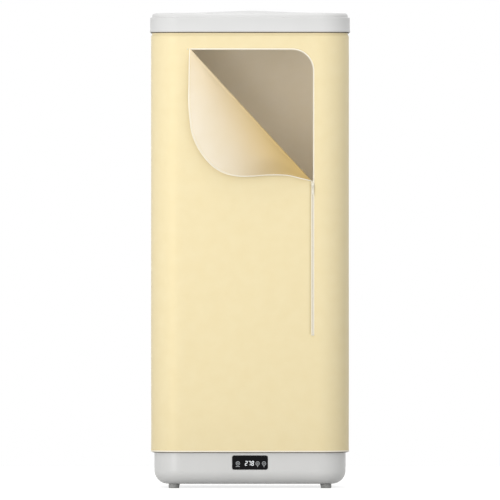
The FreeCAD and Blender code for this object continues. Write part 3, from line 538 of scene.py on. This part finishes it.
def flapFlat(share, across):
    radius = rollRadius(share)
    root = foldRoot(share)
    if across <= rollShare:
        far = math.pi * radius * across / rollShare
    else:
        far = math.pi * radius + (across - rollShare) / (1 - rollShare) * (foldReach(share) - radius)
    spot = root + foldOut * far
    return spot.x * metre, spot.y * metre


# the opening's right side as shares from its rounded top corner down to the fold's lower end
def doorSide(share):
    bend = 0.3
    radius = door["corner"]
    if share < bend:
        turn = math.pi / 2 * share / bend
        centre = Vector((door["right"] - radius, door["top"] - radius))
        return centre + radius * Vector((math.sin(turn), math.cos(turn)))
    high = door["top"] - radius
    return Vector((door["right"], high + (door["foldEnd"][1] - high) * (share - bend) / (1 - bend)))


def mixPoint(a, b, share):
    return a + (b - a) * share


# how finely the cloth is divided
foldColumns = 110
doorRows = 80
grid = {"left": 34, "door": 60, "right": 6, "slit": 2, "side": 60, "over": 40, "under": 50, "flap": 56,
        "back": (120, 170)}


def sheetPatch(mesh, across, up, path):
    addPatch(mesh, across, up, lambda s, t: coverPoint(*path(s, t)),
             lambda s, t: tuple(Vector(path(s, t)) * metre))


# the fold's columns bunch towards both ends, where the outline turns fast
def foldSpread(t):
    return t - 0.09 * math.sin(2 * math.pi * t)


# the row heights at the left edge follow the fold's own columns
def foldRootHeight(t):
    return door["foldStart"][1] + (door["foldEnd"][1] - door["foldStart"][1]) * foldSpread(t)


# one side of an open sheet is made its face, by what points outward there
def orient(mesh, outward):
    bmesh.ops.recalc_face_normals(mesh, faces=mesh.faces)
    lean = sum(face.normal.dot(outward(face.calc_center_median())) for face in mesh.faces)
    if lean < 0:
        bmesh.ops.reverse_faces(mesh, faces=mesh.faces)


def flatArea(mesh):
    layer = mesh.loops.layers.uv["flat"]
    total = 0.0
    for face in mesh.faces:
        spots = [loop[layer].uv for loop in face.loops]
        total += abs(sum(a.cross(b) for a, b in zip(spots, spots[1:] + spots[:1]))) / 2
    return total


def overZip(t):
    return door["top"] + (cover["top"] - door["top"]) * t


def belowZip(t):
    return cover["bottom"] + (door["zipBottom"] - cover["bottom"]) * t


def besideZip(t):
    return door["zipBottom"] + (door["foldEnd"][1] - door["zipBottom"]) * t


def frontCover():
    mesh = bmesh.new()
    frontEdge = straightX
    # left of the fold
    sheetPatch(mesh, grid["left"], foldColumns,
               lambda s, t: mixPoint(Vector((-frontEdge, foldRootHeight(t))), foldRoot(foldSpread(t)), s))
    # right of the opening
    sheetPatch(mesh, grid["right"], doorRows,
               lambda s, t: mixPoint(doorSide(t), Vector((frontEdge, doorSide(t).y)), s))
    # over and under the opening
    marks = [-frontEdge, door["foldStart"][0], door["right"] - door["corner"], frontEdge]
    for near, far, part in zip(marks, marks[1:], ("left", "door", "right")):
        sheetPatch(mesh, grid[part], grid["over"], lambda s, t: Vector((near + (far - near) * s, overZip(t))))
    for near, far, part in (
        (-frontEdge, door["slitLeft"], "left"),
        (door["right"], frontEdge, "right"),
        (door["slitLeft"], door["right"], "slit"),
    ):
        across = lambda s: near + (far - near) * s
        sheetPatch(mesh, grid[part], grid["under"], lambda s, t: Vector((across(s), belowZip(t))))
        if part != "slit":
            sheetPatch(mesh, grid[part], grid["under"], lambda s, t: Vector((across(s), besideZip(t))))
    # round the corners and along the sides
    under = grid["under"]
    for side, level, rows in ((-1, foldRootHeight, foldColumns), (1, lambda t: doorSide(t).y, doorRows)):
        run = lambda s: side * (frontEdge + (seamRun - frontEdge) * s)
        for high, count in ((level, rows), (overZip, grid["over"]), (belowZip, under), (besideZip, under)):
            sheetPatch(mesh, grid["side"], count, lambda s, t: Vector((run(s), high(t))))
    weld(mesh)
    orient(mesh, lambda spot: Vector((spot.x, spot.y, 0)))
    return mesh


# the roll and the folded corner, one sheet from the line where it leaves the front
def foldedCorner():
    mesh = bmesh.new()
    addPatch(mesh, foldColumns, grid["flap"], lambda s, t: flapPlace(foldSpread(s), t),
             lambda s, t: flapFlat(foldSpread(s), t))
    weld(mesh)
    rootDepth = (cover["halfY"] + 3) * metre
    orient(mesh, lambda spot: Vector((0, -1 if -spot.y < rootDepth else 0, 0)))
    return mesh


def thicken(piece, thick, offset=0, even=True, inside=None):
    solid = piece.modifiers.new("thickness", "SOLIDIFY")
    solid.thickness = thick * metre
    solid.offset = offset
    solid.use_even_offset = even
    if inside:
        piece.data.materials.append(materials[inside])
        solid.material_offset = 1


def clothPiece(name, mesh, body, replaced, inside="coatedInside"):
    cut = flatArea(mesh)
    piece = newPiece(name, mesh, "wovenPolyester", body, smooth=180)
    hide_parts(replaced)
    thicken(piece, cover["thick"], even=False, inside=inside)
    print(name, len(piece.data.polygons), "faces, flat cut", round(cut, 4))
    return piece, cut


frontCloth, frontCut = clothPiece("frontCloth", frontCover(), "cabinet", "cover_front")
# painted shade on the folded corner: the lining darker and more golden near the fold, running out towards the
# lower left
paleWay = Vector((-1, -0.45)).normalized()
unfolded = paleWay - 2 * paleWay.dot(foldOut) * foldOut
unfoldedShift = -2 * paleWay.dot(foldOut) * foldA.dot(foldOut)
foldShadeLook = {"tone": "ceb070", "start": (150, 960), "end": (-175, 1010)}
materials["foldShadedInside"] = wovenCloth(
    "foldShadedInside",
    clothInside,
    {
        "away": (*unfolded, 0),
        "start": (paleWay.dot(Vector(foldShadeLook["start"])) + unfoldedShift) * metre,
        "end": (paleWay.dot(Vector(foldShadeLook["end"])) + unfoldedShift) * metre,
        "tone": foldShadeLook["tone"],
    },
)
foldCloth, foldCut = clothPiece("foldedCorner", foldedCorner(), None, "door_flap", "foldShadedInside")


# rows lie closer where the lid grips the cloth
def backLevel(t):
    gripped = lid["bottom"] - 20
    if t < 0.8:
        return cover["bottom"] + (gripped - cover["bottom"]) * t / 0.8
    return gripped + (cover["top"] - gripped) * (t - 0.8) / 0.2


def backCover():
    mesh = bmesh.new()
    long = 2 * (halfRun - seamRun)
    addPatch(mesh, *grid["back"], lambda s, t: coverPoint(backRun(seamRun + long * s), backLevel(t)),
             lambda s, t: ((seamRun + long * s) * metre, backLevel(t) * metre))
    weld(mesh)
    orient(mesh, lambda spot: Vector((spot.x, spot.y, 0)))
    return mesh


def backRun(run):
    return run if run <= halfRun else run - 2 * halfRun


backCloth, backCut = clothPiece("backCloth", backCover(), "cabinet", "cover_back")

# hem binding, zip tapes and side seams: flat strips that lie over the cloth
strips = {
    "hem": {"wide": 4.4, "thick": 1.8, "out": 0.3, "rows": 320, "finish": "bindingTape", "slot": "zip_white"},
    "tape": {"wide": 3.8, "thick": 1.5, "out": 0, "rows": 260, "finish": "bindingTape", "slot": "zip_white"},
    "seam": {"wide": 9, "thick": 0.6, "out": 0.8, "rows": 300, "finish": "wovenPolyester",
             "slot": "cover_cloth"},
    # the guard behind the zip is sewn on at its left and bows in, clear of the slider
    "guard": {"wide": 25, "thick": 0.5, "out": -0.9, "bow": -3.9, "columns": 12, "rows": 60,
              "finish": "wovenPolyester", "slot": "cover_cloth"},
    "flapCord": 1.5,
}


# a strip along a path of (run, height), which goes from share 0 to 1
def strip(name, path, look):
    mesh = bmesh.new()
    long = sum((path((i + 1) / 200) - path(i / 200)).length for i in range(200))

    def spot(s, t):
        here = path(t)
        ahead = path(min(t + 0.0005, 1)) - path(max(t - 0.0005, 0))
        aside = Vector((ahead.y, -ahead.x)).normalized()
        place = here + aside * look["wide"] * (s - 0.5)
        return coverPoint(place.x, place.y, look["out"] + look.get("bow", 0) * easeIn((1 - s) / 0.3))

    addPatch(mesh, look.get("columns", 2), look["rows"], spot,
             lambda s, t: (s * look["wide"] * metre, t * long * metre))
    weld(mesh)
    orient(mesh, lambda place: Vector((place.x, place.y, 0)))
    piece = newPiece(name, mesh, look["finish"], "cabinet", smooth=40)
    thicken(piece, look["thick"], even=False)
    edge = piece.modifiers.new("edge", "BEVEL")
    edge.width = min(0.35, look["thick"] * 0.3) * metre
    edge.segments = 2
    return piece


# the run from the middle of the back, once round
def roundRun(share):
    return -halfRun + 2 * halfRun * share


hemBinding = strip("hemBinding", lambda t: Vector((roundRun(t), cover["bottom"] + 1.6)), strips["hem"])
seamLow = cover["bottom"] + 4
seamHigh = lid["bottom"] - 2


def seamPath(side, shift=0.0):
    return lambda t: Vector((side * (seamRun + shift), seamLow + (seamHigh - seamLow) * t))


seams = [strip(name, seamPath(side), strips["seam"]) for name, side in (("seamLeft", -1), ("seamRight", 1))]

# dark cords put in as painted shade where the overhangs throw thin shade lines: one between cloth and base
# under the hem, a thin one under the lid
shadeCords = {
    "hemShadeCord": {"radius": 4.0, "out": -5.0, "height": 111.3},
    "lidShadeCord": {"radius": 1.3, "out": 1.2, "height": 1368.5},
}
shadeCordPoints = 360
for name, look in shadeCords.items():
    ring = [coverPoint(roundRun(i / shadeCordPoints), look["height"], look["out"]) for i in range(shadeCordPoints)]
    sweep(name, ring, look["radius"], "paintedShadeCord", "cabinet", closed=True)

flatRun = door["right"] - door["corner"] - door["foldStart"][0]


# the fixed side of the zip: along the top, round the corner and down to the bottom stop, set in from the
# cloth's edge
def fixedSide(inset):
    radius = door["corner"] - inset
    arc = radius * math.pi / 2
    down = door["top"] - door["corner"] - door["zipBottom"]
    centre = Vector((door["right"] - door["corner"], door["top"] - door["corner"]))

    def path(share):
        far = share * (flatRun + arc + down)
        if far < flatRun:
            return Vector((door["foldStart"][0] + far, door["top"] - inset))
        if far < flatRun + arc:
            turn = (far - flatRun) / radius
            return centre + radius * Vector((math.sin(turn), math.cos(turn)))
        return Vector((door["right"] - inset, centre.y - (far - flatRun - arc)))

    return path, flatRun + arc + down


def lowerSide(inset):
    top = door["foldEnd"][1]
    long = top - door["zipBottom"]
    return lambda share: Vector((door["slitLeft"] + inset, top - long * share)), long


fixedTape = strip("fixedTape", fixedSide(1.2)[0], strips["tape"])
lowerTape = strip("lowerTape", lowerSide(1.2)[0], {**strips["tape"], "rows": 60})
guardTop = door["foldEnd"][1] - 11
guardPath = lambda t: Vector((door["slitLeft"] + 5, guardTop + (door["zipBottom"] - 12 - guardTop) * t))
zipGuard = strip("zipGuard", guardPath, strips["guard"])
flapBinding = sweep("flapBinding", [flapPlace(foldSpread(i / 150), 1.0, 0.4) for i in range(151)],
                    strips["flapCord"], "bindingTape", None)
print("bindings made")

# lockstitch rows beside the tapes and along hem, seams and flap, each stitch a small rounded thread sunk in
# the cloth
stitch = {"pitch": 4.2, "long": 3.2, "thick": 0.75, "rise": 0.1, "beside": 2.4, "hemUp": 6.2, "seamAside": 3,
          "flapLong": 620, "flapFrom": 0.08, "flapTo": 0.88, "flapInset": 5.5, "flapLeast": 12, "length": 60}


def stitchRow(mesh, place, long):
    count = int(long / stitch["pitch"])
    # short lengths of the row are made apart, which is quicker
    for first in range(0, count, stitch["length"]):
        part = bmesh.new()
        for index in range(first, min(first + stitch["length"], count)):
            at = (index + 0.5) / count
            here, outward = place(at)
            ahead = (place(min(at + 0.001, 1))[0] - place(max(at - 0.001, 0))[0]).normalized()
            aside = outward.cross(ahead).normalized()
            made = bmesh.ops.create_icosphere(part, subdivisions=1, radius=0.5)
            for vertex in made["verts"]:
                x, y, z = vertex.co
                vertex.co = here + (
                    ahead * x * stitch["long"] + (aside * y + outward * z) * stitch["thick"]
                ) * metre
        data = bpy.data.meshes.new("stitches")
        part.to_mesh(data)
        part.free()
        mesh.from_mesh(data)
        bpy.data.meshes.remove(data)


# a place on the cover with the way out of it
def onCover(run, height, over):
    near = coverPoint(run, height, over)
    return near, (coverPoint(run, height, over + 1) - near).normalized()


def coverStitches(mesh, path, long, over):
    stitchRow(mesh, lambda at: onCover(*path(at), over), long)


def coverThread():
    mesh = bmesh.new()
    cloth = cover["thick"] / 2 + stitch["rise"]
    outerSide, outerLong = fixedSide(-stitch["beside"])
    coverStitches(mesh, outerSide, outerLong, cloth)
    innerSide, innerLong = lowerSide(-stitch["beside"])
    coverStitches(mesh, innerSide, innerLong, cloth)
    hemHeight = cover["bottom"] + stitch["hemUp"]
    coverStitches(mesh, lambda t: Vector((roundRun(t), hemHeight)), 2 * halfRun, cloth)
    seamFace = strips["seam"]["out"] + strips["seam"]["thick"] / 2 + stitch["rise"]
    for side in (-1, 1):
        for shift in (-stitch["seamAside"], stitch["seamAside"]):
            coverStitches(mesh, seamPath(side, shift), seamHigh - seamLow, seamFace)
    return mesh


def flapThread():
    mesh = bmesh.new()

    def place(at):
        share = foldSpread(stitch["flapFrom"] + (stitch["flapTo"] - stitch["flapFrom"]) * at)
        inward = stitch["flapInset"] / max(foldReach(share), stitch["flapLeast"])
        here = flapPlace(share, 1 - inward, cover["thick"] / 2 + stitch["rise"])
        return here, Vector((0, -1, 0))

    stitchRow(mesh, place, stitch["flapLong"])
    return mesh


coverStitching = newPiece("coverStitching", coverThread(), "sewingThread", smooth=60)
flapStitching = newPiece("flapStitching", flapThread(), "sewingThread", None, smooth=60)
print("stitched:", len(coverStitching.data.polygons) + len(flapStitching.data.polygons), "faces")


# zip teeth: small tapered blocks set along a path, gripping the tape's edge
teeth = {"long": 2.5, "wide": 1.5, "deep": 2.5, "pitch": 2.6, "inset": 2.15, "taper": 0.75, "flapLong": 680}


def toothRow(name, place, long, body, node):
    mesh = bmesh.new()
    count = int(long / teeth["pitch"])
    for index in range(count):
        at = (index + 0.5) / count
        here = place(at)
        ahead = (place(min(at + 0.0005, 1)) - place(max(at - 0.0005, 0))).normalized()
        made = bmesh.ops.create_cube(mesh, size=1)
        face = Vector((0, -1, 0))
        aside = ahead.cross(face).normalized()
        for vertex in made["verts"]:
            x, y, z = vertex.co
            slim = teeth["taper"] if x > 0 else 1
            vertex.co = here + (
                aside * x * teeth["long"] + ahead * y * teeth["wide"] * slim + face * z * teeth["deep"]
            ) * metre
    bmesh.ops.recalc_face_normals(mesh, faces=mesh.faces)
    piece = newPiece(name, mesh, "creamAcetal", body)
    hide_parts(node)
    return piece


def sideTeeth(name, side, node):
    path, long = side
    return toothRow(name, lambda at: coverPoint(*path(at)), long, "cabinet", node)


fixedTeeth = sideTeeth("fixedTeeth", fixedSide(teeth["inset"]), "zip_row_fixed")
lowerTeeth = sideTeeth("lowerTeeth", lowerSide(teeth["inset"]), "zip_row_lower")
flapTeeth = toothRow("flapTeeth", lambda at: flapPlace(at * 0.98 + 0.01, 0.985, 0.3), teeth["flapLong"], None,
                     "zip_row_flap")
print("zip made:", len(fixedTeeth.data.polygons) + len(flapTeeth.data.polygons), "faces")


def levelVerts(mesh, height):
    return [vertex for vertex in mesh.verts if abs(vertex.co.z / metre - height) < 0.01]


def levelEdges(mesh, height):
    level = set(levelVerts(mesh, height))
    return [edge for edge in mesh.edges if level.issuperset(edge.verts)]


def topFace(mesh):
    return max(mesh.faces, key=lambda face: (round(face.calc_center_median().z, 6), face.calc_area()))


def raiseTop(mesh, rise, shareX, shareY):
    face = topFace(mesh)
    made = bmesh.ops.extrude_face_region(mesh, geom=[face])
    fresh = [item for item in made["geom"] if isinstance(item, bmesh.types.BMVert)]
    bmesh.ops.delete(mesh, geom=[face], context="FACES_ONLY")
    bmesh.ops.scale(mesh, verts=fresh, vec=(shareX, shareY, 1))
    bmesh.ops.translate(mesh, verts=fresh, vec=(0, 0, rise * metre))


def lidShell():
    mesh = bmesh.new()
    made = bmesh.ops.create_cube(mesh, size=1)
    tall = lid["band"] - lid["bottom"]
    bmesh.ops.scale(mesh, verts=made["verts"], vec=Vector((2 * lid["halfX"], 2 * lid["halfY"], tall)) * metre)
    bmesh.ops.translate(mesh, verts=made["verts"], vec=(0, 0, (lid["bottom"] + tall / 2) * metre))
    upright = [edge for edge in mesh.edges if abs(edge.verts[0].co.z - edge.verts[1].co.z) > 1e-4]
    bmesh.ops.bevel(mesh, geom=upright, offset=lid["corner"] * metre, segments=20, profile=0.5,
                    affect="EDGES", material=-1, offset_type="OFFSET")
    # the step up to the tier
    shareX = (lid["halfX"] - lid["step"]) / lid["halfX"]
    shareY = (lid["halfY"] - lid["step"]) / lid["halfY"]
    raiseTop(mesh, 0, shareX, shareY)
    raiseTop(mesh, lid["tier"] - lid["band"], 1, 1)
    bmesh.ops.delete(
        mesh,
        geom=[face for face in mesh.faces if face.calc_center_median().z < (lid["bottom"] + 0.1) * metre],
        context="FACES_ONLY",
    )
    for height, size in ((lid["band"], lid["edge"]), (lid["tier"], lid["tierEdge"])):
        rim = [
            edge
            for edge in levelEdges(mesh, height)
            if edge.is_manifold and edge.calc_face_angle(0) > 1 and edge.is_convex
        ]
        bmesh.ops.bevel(mesh, geom=rim, offset=size * metre, segments=6, profile=0.5, affect="EDGES",
                        material=-1)
    # the crown, in rings
    before = 0.0
    beforeHigh = 0.0
    for share, high in lid["crown"]:
        raiseTop(mesh, high - beforeHigh, (1 - share) / (1 - before), (1 - share) / (1 - before))
        before = share
        beforeHigh = high
    # the lip at the lower rim
    lipTop = lid["bottom"] + lid["lipTall"]
    for height in (lipTop, lipTop + lid["lipFade"]):
        bmesh.ops.bisect_plane(mesh, geom=mesh.verts[:] + mesh.edges[:] + mesh.faces[:],
                               plane_co=(0, 0, height * metre), plane_no=(0, 0, 1))
    for height in (lid["bottom"], lipTop):
        bmesh.ops.scale(
            mesh,
            verts=levelVerts(mesh, height),
            vec=(1 + lid["lip"] / lid["halfX"], 1 + lid["lip"] / lid["halfY"], 1),
        )
    # vents through the rear wall
    left = -lid["ventPitch"] * (lid["ventCount"] - 1) / 2 - lid["ventWide"] / 2
    for height in (lid["ventLow"], lid["ventHigh"]):
        cutRear(mesh, (0, 0, height * metre), (0, 0, 1))
    for index in range(lid["ventCount"]):
        for x in (left + index * lid["ventPitch"], left + index * lid["ventPitch"] + lid["ventWide"]):
            cutRear(mesh, (x * metre, 0, 0), (1, 0, 0))
    slots = []
    for face in mesh.faces:
        middle = face.calc_center_median() / metre
        column = (middle.x - left) / lid["ventPitch"]
        inSlot = 0 <= column < lid["ventCount"] and (column % 1) * lid["ventPitch"] < lid["ventWide"]
        if middle.y > lid["halfY"] - 1 and lid["ventLow"] < middle.z < lid["ventHigh"] and inSlot:
            slots.append(face)
    bmesh.ops.delete(mesh, geom=slots, context="FACES")
    weld(mesh)
    return mesh


def cutRear(mesh, spot, normal):
    rear = [face for face in mesh.faces if face.calc_center_median().y > (lid["halfY"] - 0.5) * metre]
    parts = {item for face in rear for item in (face, *face.edges, *face.verts)}
    bmesh.ops.bisect_plane(mesh, geom=list(parts), plane_co=spot, plane_no=normal)


lidPiece = newPiece("lidShell", lidShell(), "satinAbsShadedLid", smooth=40)
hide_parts("top_cover")
thicken(lidPiece, lid["wall"], -1)
print("lid made:", len(lidPiece.data.polygons), "faces")


display = {
    "front": -213.35,
    "digitTall": 14,
    "digitWide": 7.2,
    "stroke": 1.8,
    "lean": 0.08,
    "gap": 9.6,
    "digitsX": -11.3,
    "digitsZ": 75.8,
    # rings of the icons as x, z and two radii; their bars as x, z, width and height. Left: heat waves over a
    # bar; right: a fan and a drop, each with a stem
    "rings": [(-36.5, 75.6, 6.4, 4.8), (22.8, 75.4, 6.2, 4.5), (42.0, 75.4, 6.2, 4.5)],
    "bars": [(-39.1, 75.6, 1.3, 5.6), (-36.5, 75.6, 1.3, 5.6), (-33.9, 75.6, 1.3, 5.6),
             (-36.5, 66.2, 12, 1.9), (22.8, 66.8, 1.9, 4.6), (22.8, 75.4, 1.5, 5.6), (22.8, 75.4, 5.6, 1.5),
             (42.0, 66.8, 1.9, 4.6), (42.0, 75.4, 1.5, 5.6), (42.0, 75.4, 5.6, 1.5)],
}
segments = {"2": "abged", "7": "abc", "8": "abcdefg"}


def flatBar(mesh, x, z, wide, tall, lean=0.0):
    made = bmesh.ops.create_grid(mesh, x_segments=1, y_segments=1, size=0.5)
    for vertex in made["verts"]:
        u, v = vertex.co.x * wide, vertex.co.y * tall
        vertex.co = Vector((x + u + lean * (z + v - display["digitsZ"]), display["front"], z + v)) * metre


def digitStrokes(mesh, digit, x, z):
    wide = display["digitWide"]
    stroke = display["stroke"]
    half = display["digitTall"] / 2
    bars = {}
    for name, up in (("a", 1), ("g", 0), ("d", -1)):
        bars[name] = (0, up * (half - stroke / 2), wide - stroke, stroke)
    for name, side, up in (("b", 1, 1), ("c", 1, -1), ("f", -1, 1), ("e", -1, -1)):
        bars[name] = (side * (wide - stroke) / 2, up * half / 2, stroke, half - stroke)
    for name in segments[digit]:
        bx, bz, bw, bt = bars[name]
        flatBar(mesh, x + bx, z + bz, bw, bt, display["lean"])


def displayDigits():
    mesh = bmesh.new()
    for index, digit in enumerate("278"):
        digitStrokes(mesh, digit, display["digitsX"] + index * display["gap"], display["digitsZ"])
    return mesh


def flatRing(mesh, x, z, outer, inner):
    made = bmesh.ops.create_circle(mesh, segments=24, radius=outer)
    edges = {edge for vertex in made["verts"] for edge in vertex.link_edges}
    grown = bmesh.ops.extrude_edge_only(mesh, edges=list(edges))
    fresh = [item for item in grown["geom"] if isinstance(item, bmesh.types.BMVert)]
    bmesh.ops.scale(mesh, verts=fresh, vec=(inner / outer,) * 3)
    for vertex in made["verts"] + fresh:
        vertex.co = Vector((x + vertex.co.x, display["front"], z + vertex.co.y)) * metre


def displayIcons():
    mesh = bmesh.new()
    for ring in display["rings"]:
        flatRing(mesh, *ring)
    for bar in display["bars"]:
        flatBar(mesh, *bar)
    return mesh


digitsPiece = newPiece("displayDigits", displayDigits(), "litDigits")
iconsPiece = newPiece("displayIcons", displayIcons(), "printedIcon")
for piece in (digitsPiece, iconsPiece):
    thicken(piece, 0.12)
print("display made")


# flat-headed screws under the base
screw = {"head": 7.5, "rise": 1.0, "recess": 4.4, "deep": 0.7, "seat": 13.0, "sunk": 0.4,
         "dome": [(1, 0.5), (0.96, 0.85), (0.86, 1.0)],
         "places": [(-205, 0), (205, 0), (-110, -130), (110, -130), (-110, 130), (110, 130)]}


def screwHeads():
    mesh = bmesh.new()
    radius = screw["head"] / 2
    for x, y in screw["places"]:
        made = bmesh.ops.create_circle(mesh, segments=24, radius=radius, cap_ends=True)
        face = made["verts"][0].link_faces[0]
        bmesh.ops.translate(mesh, verts=made["verts"], vec=(x, y, screw["seat"] + screw["sunk"]))
        before = 1.0
        for share, rise in screw["dome"]:
            grown = bmesh.ops.extrude_face_region(mesh, geom=[face])
            fresh = [item for item in grown["geom"] if isinstance(item, bmesh.types.BMVert)]
            bmesh.ops.delete(mesh, geom=[face], context="FACES_ONLY")
            face = next(item for item in grown["geom"] if isinstance(item, bmesh.types.BMFace))
            for vertex in fresh:
                vertex.co.x = x + (vertex.co.x - x) * share / before
                vertex.co.y = y + (vertex.co.y - y) * share / before
                vertex.co.z = screw["seat"] - screw["rise"] * rise
            before = share
        # the driver's recess, a round well
        bmesh.ops.inset_region(mesh, faces=[face], thickness=radius * before - screw["recess"] / 2)
        sunk = bmesh.ops.extrude_face_region(mesh, geom=[face])
        bmesh.ops.delete(mesh, geom=[face], context="FACES_ONLY")
        for item in sunk["geom"]:
            if isinstance(item, bmesh.types.BMVert):
                item.co.z += screw["deep"]
    bmesh.ops.scale(mesh, verts=mesh.verts, vec=(metre, metre, metre))
    bmesh.ops.recalc_face_normals(mesh, faces=mesh.faces)
    return mesh


newPiece("baseScrews", screwHeads(), "platedScrew", smooth=35)
print("screws made")

stageLook = {"tones": ("aaaaa9", "aeaead"), "reach": 2.6, "glow": 0.77}
ambientStrength = 0.69


# 1 for rays of any of these kinds, else 0
def raysOf(tree, *kinds):
    rays = addNode(tree, "LightPath").outputs
    value = rays[kinds[0]]
    for kind in kinds[1:]:
        value = addNode(tree, "Math", {"operation": "MAXIMUM"}, {0: value, 1: rays[kind]})
    return value


def stageFloor():
    mesh = bmesh.new()
    bmesh.ops.create_grid(mesh, x_segments=8, y_segments=8, size=stageLook["reach"])
    data = bpy.data.meshes.new("floor")
    mesh.to_mesh(data)
    mesh.free()
    floor = bpy.data.objects.new("floor", data)
    scene.collection.objects.link(floor)
    material, tree = newMaterial("paleFloor")
    where = addNode(tree, "TexCoord").outputs["Object"]
    cloud = addNode(tree, "TexNoise", {"Scale": 1.5}, {"Vector": where})
    tone = addNode(tree, "ValToRGB", stops(stageLook, 0.3, 0.7), {"Fac": cloud})
    seen = addNode(tree, "Math", {"operation": "MULTIPLY", 1: stageLook["glow"]},
                   {0: raysOf(tree, "Is Camera Ray", "Is Glossy Ray")})
    shader = addNode(tree, "BsdfPrincipled",
                     {"Roughness": 0.9, "Specular IOR Level": 0.1, "Emission Color": (1, 1, 1, 1)},
                     {"Base Color": tone, "Emission Strength": seen})
    data.materials.append(finished(material, shader))


def stageWorld():
    world = bpy.data.worlds.new("studio")
    scene.world = world
    world.use_nodes = True
    tree = world.node_tree
    tree.nodes.clear()
    # the light on the cabinet is softer than the white behind it
    skies = {}
    for place, strength in ((1, ambientStrength), (2, 1)):
        sky = addNode(tree, "Background", {"Color": (1, 1, 1, 1), "Strength": strength})
        skies[place] = sky
    seen = raysOf(tree, "Is Camera Ray", "Is Glossy Ray", "Is Transmission Ray")
    both = addNode(tree, "MixShader", links={"Fac": seen, **skies})
    addNode(tree, "OutputWorld", links={"Surface": both})


lamps = {
    "key": {"spot": (-2.5, -3.9, 0.8), "size": (0.9, 2.3), "power": 60},
    "front": {"spot": (-0.7, -6.2, 0.45), "size": (1.6, 1.6), "power": 66, "glossy": False},
    "top": {"spot": (0.0, -0.6, 3.6), "size": (1.8, 1.2), "power": 24, "glossy": False},
    "rear": {"spot": (-0.9, 4.2, 1.0), "size": (1.6, 1.6), "power": 34, "glossy": False},
    # stands in for the daylight that reaches the back of the cabin
    "cabin": {"spot": (0.0, -0.17, 1.0), "size": (0.44, 0.6), "power": 0.42, "aim": (0, 0.2, 1.0),
              "glossy": False},
}


def areaLight(name, look):
    data = bpy.data.lights.new(name, "AREA")
    data.shape = "RECTANGLE"
    data.size, data.size_y = look["size"]
    data.energy = look["power"]
    lamp = bpy.data.objects.new(name, data)
    scene.collection.objects.link(lamp)
    lamp.location = look["spot"]
    aim = Vector(look.get("aim", (0, 0, 0.75))) - lamp.location
    lamp.rotation_euler = aim.to_track_quat("-Z", "Y").to_euler()
    lamp.visible_glossy = look.get("glossy", True)


stageFloor()
stageWorld()
for name, look in lamps.items():
    areaLight(name, look)

view = {"lens": 1000, "frameWide": 1500, "middleZ": 716, "frontY": -222, "eyeZ": 1000}


def makeCamera():
    data = bpy.data.cameras.new("camera")
    data.lens = view["lens"]
    camera = bpy.data.objects.new("camera", data)
    scene.collection.objects.link(camera)
    scene.camera = camera
    away = view["frameWide"] * metre * view["lens"] / data.sensor_width
    aim = Vector((0, view["frontY"] * metre, view["middleZ"] * metre))
    camera.location = (0, aim.y - away, view["eyeZ"] * metre)
    camera.rotation_euler = (aim - camera.location).to_track_quat("-Z", "Y").to_euler()
    data.clip_end = 120


makeCamera()
scene.view_settings.view_transform = "Standard"
print("stage, light and camera set")

# the folded corner's pieces have no body; their transforms are baked into their meshes
for piece in (foldCloth, flapBinding, flapTeeth, flapStitching):
    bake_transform(piece)
print("done")
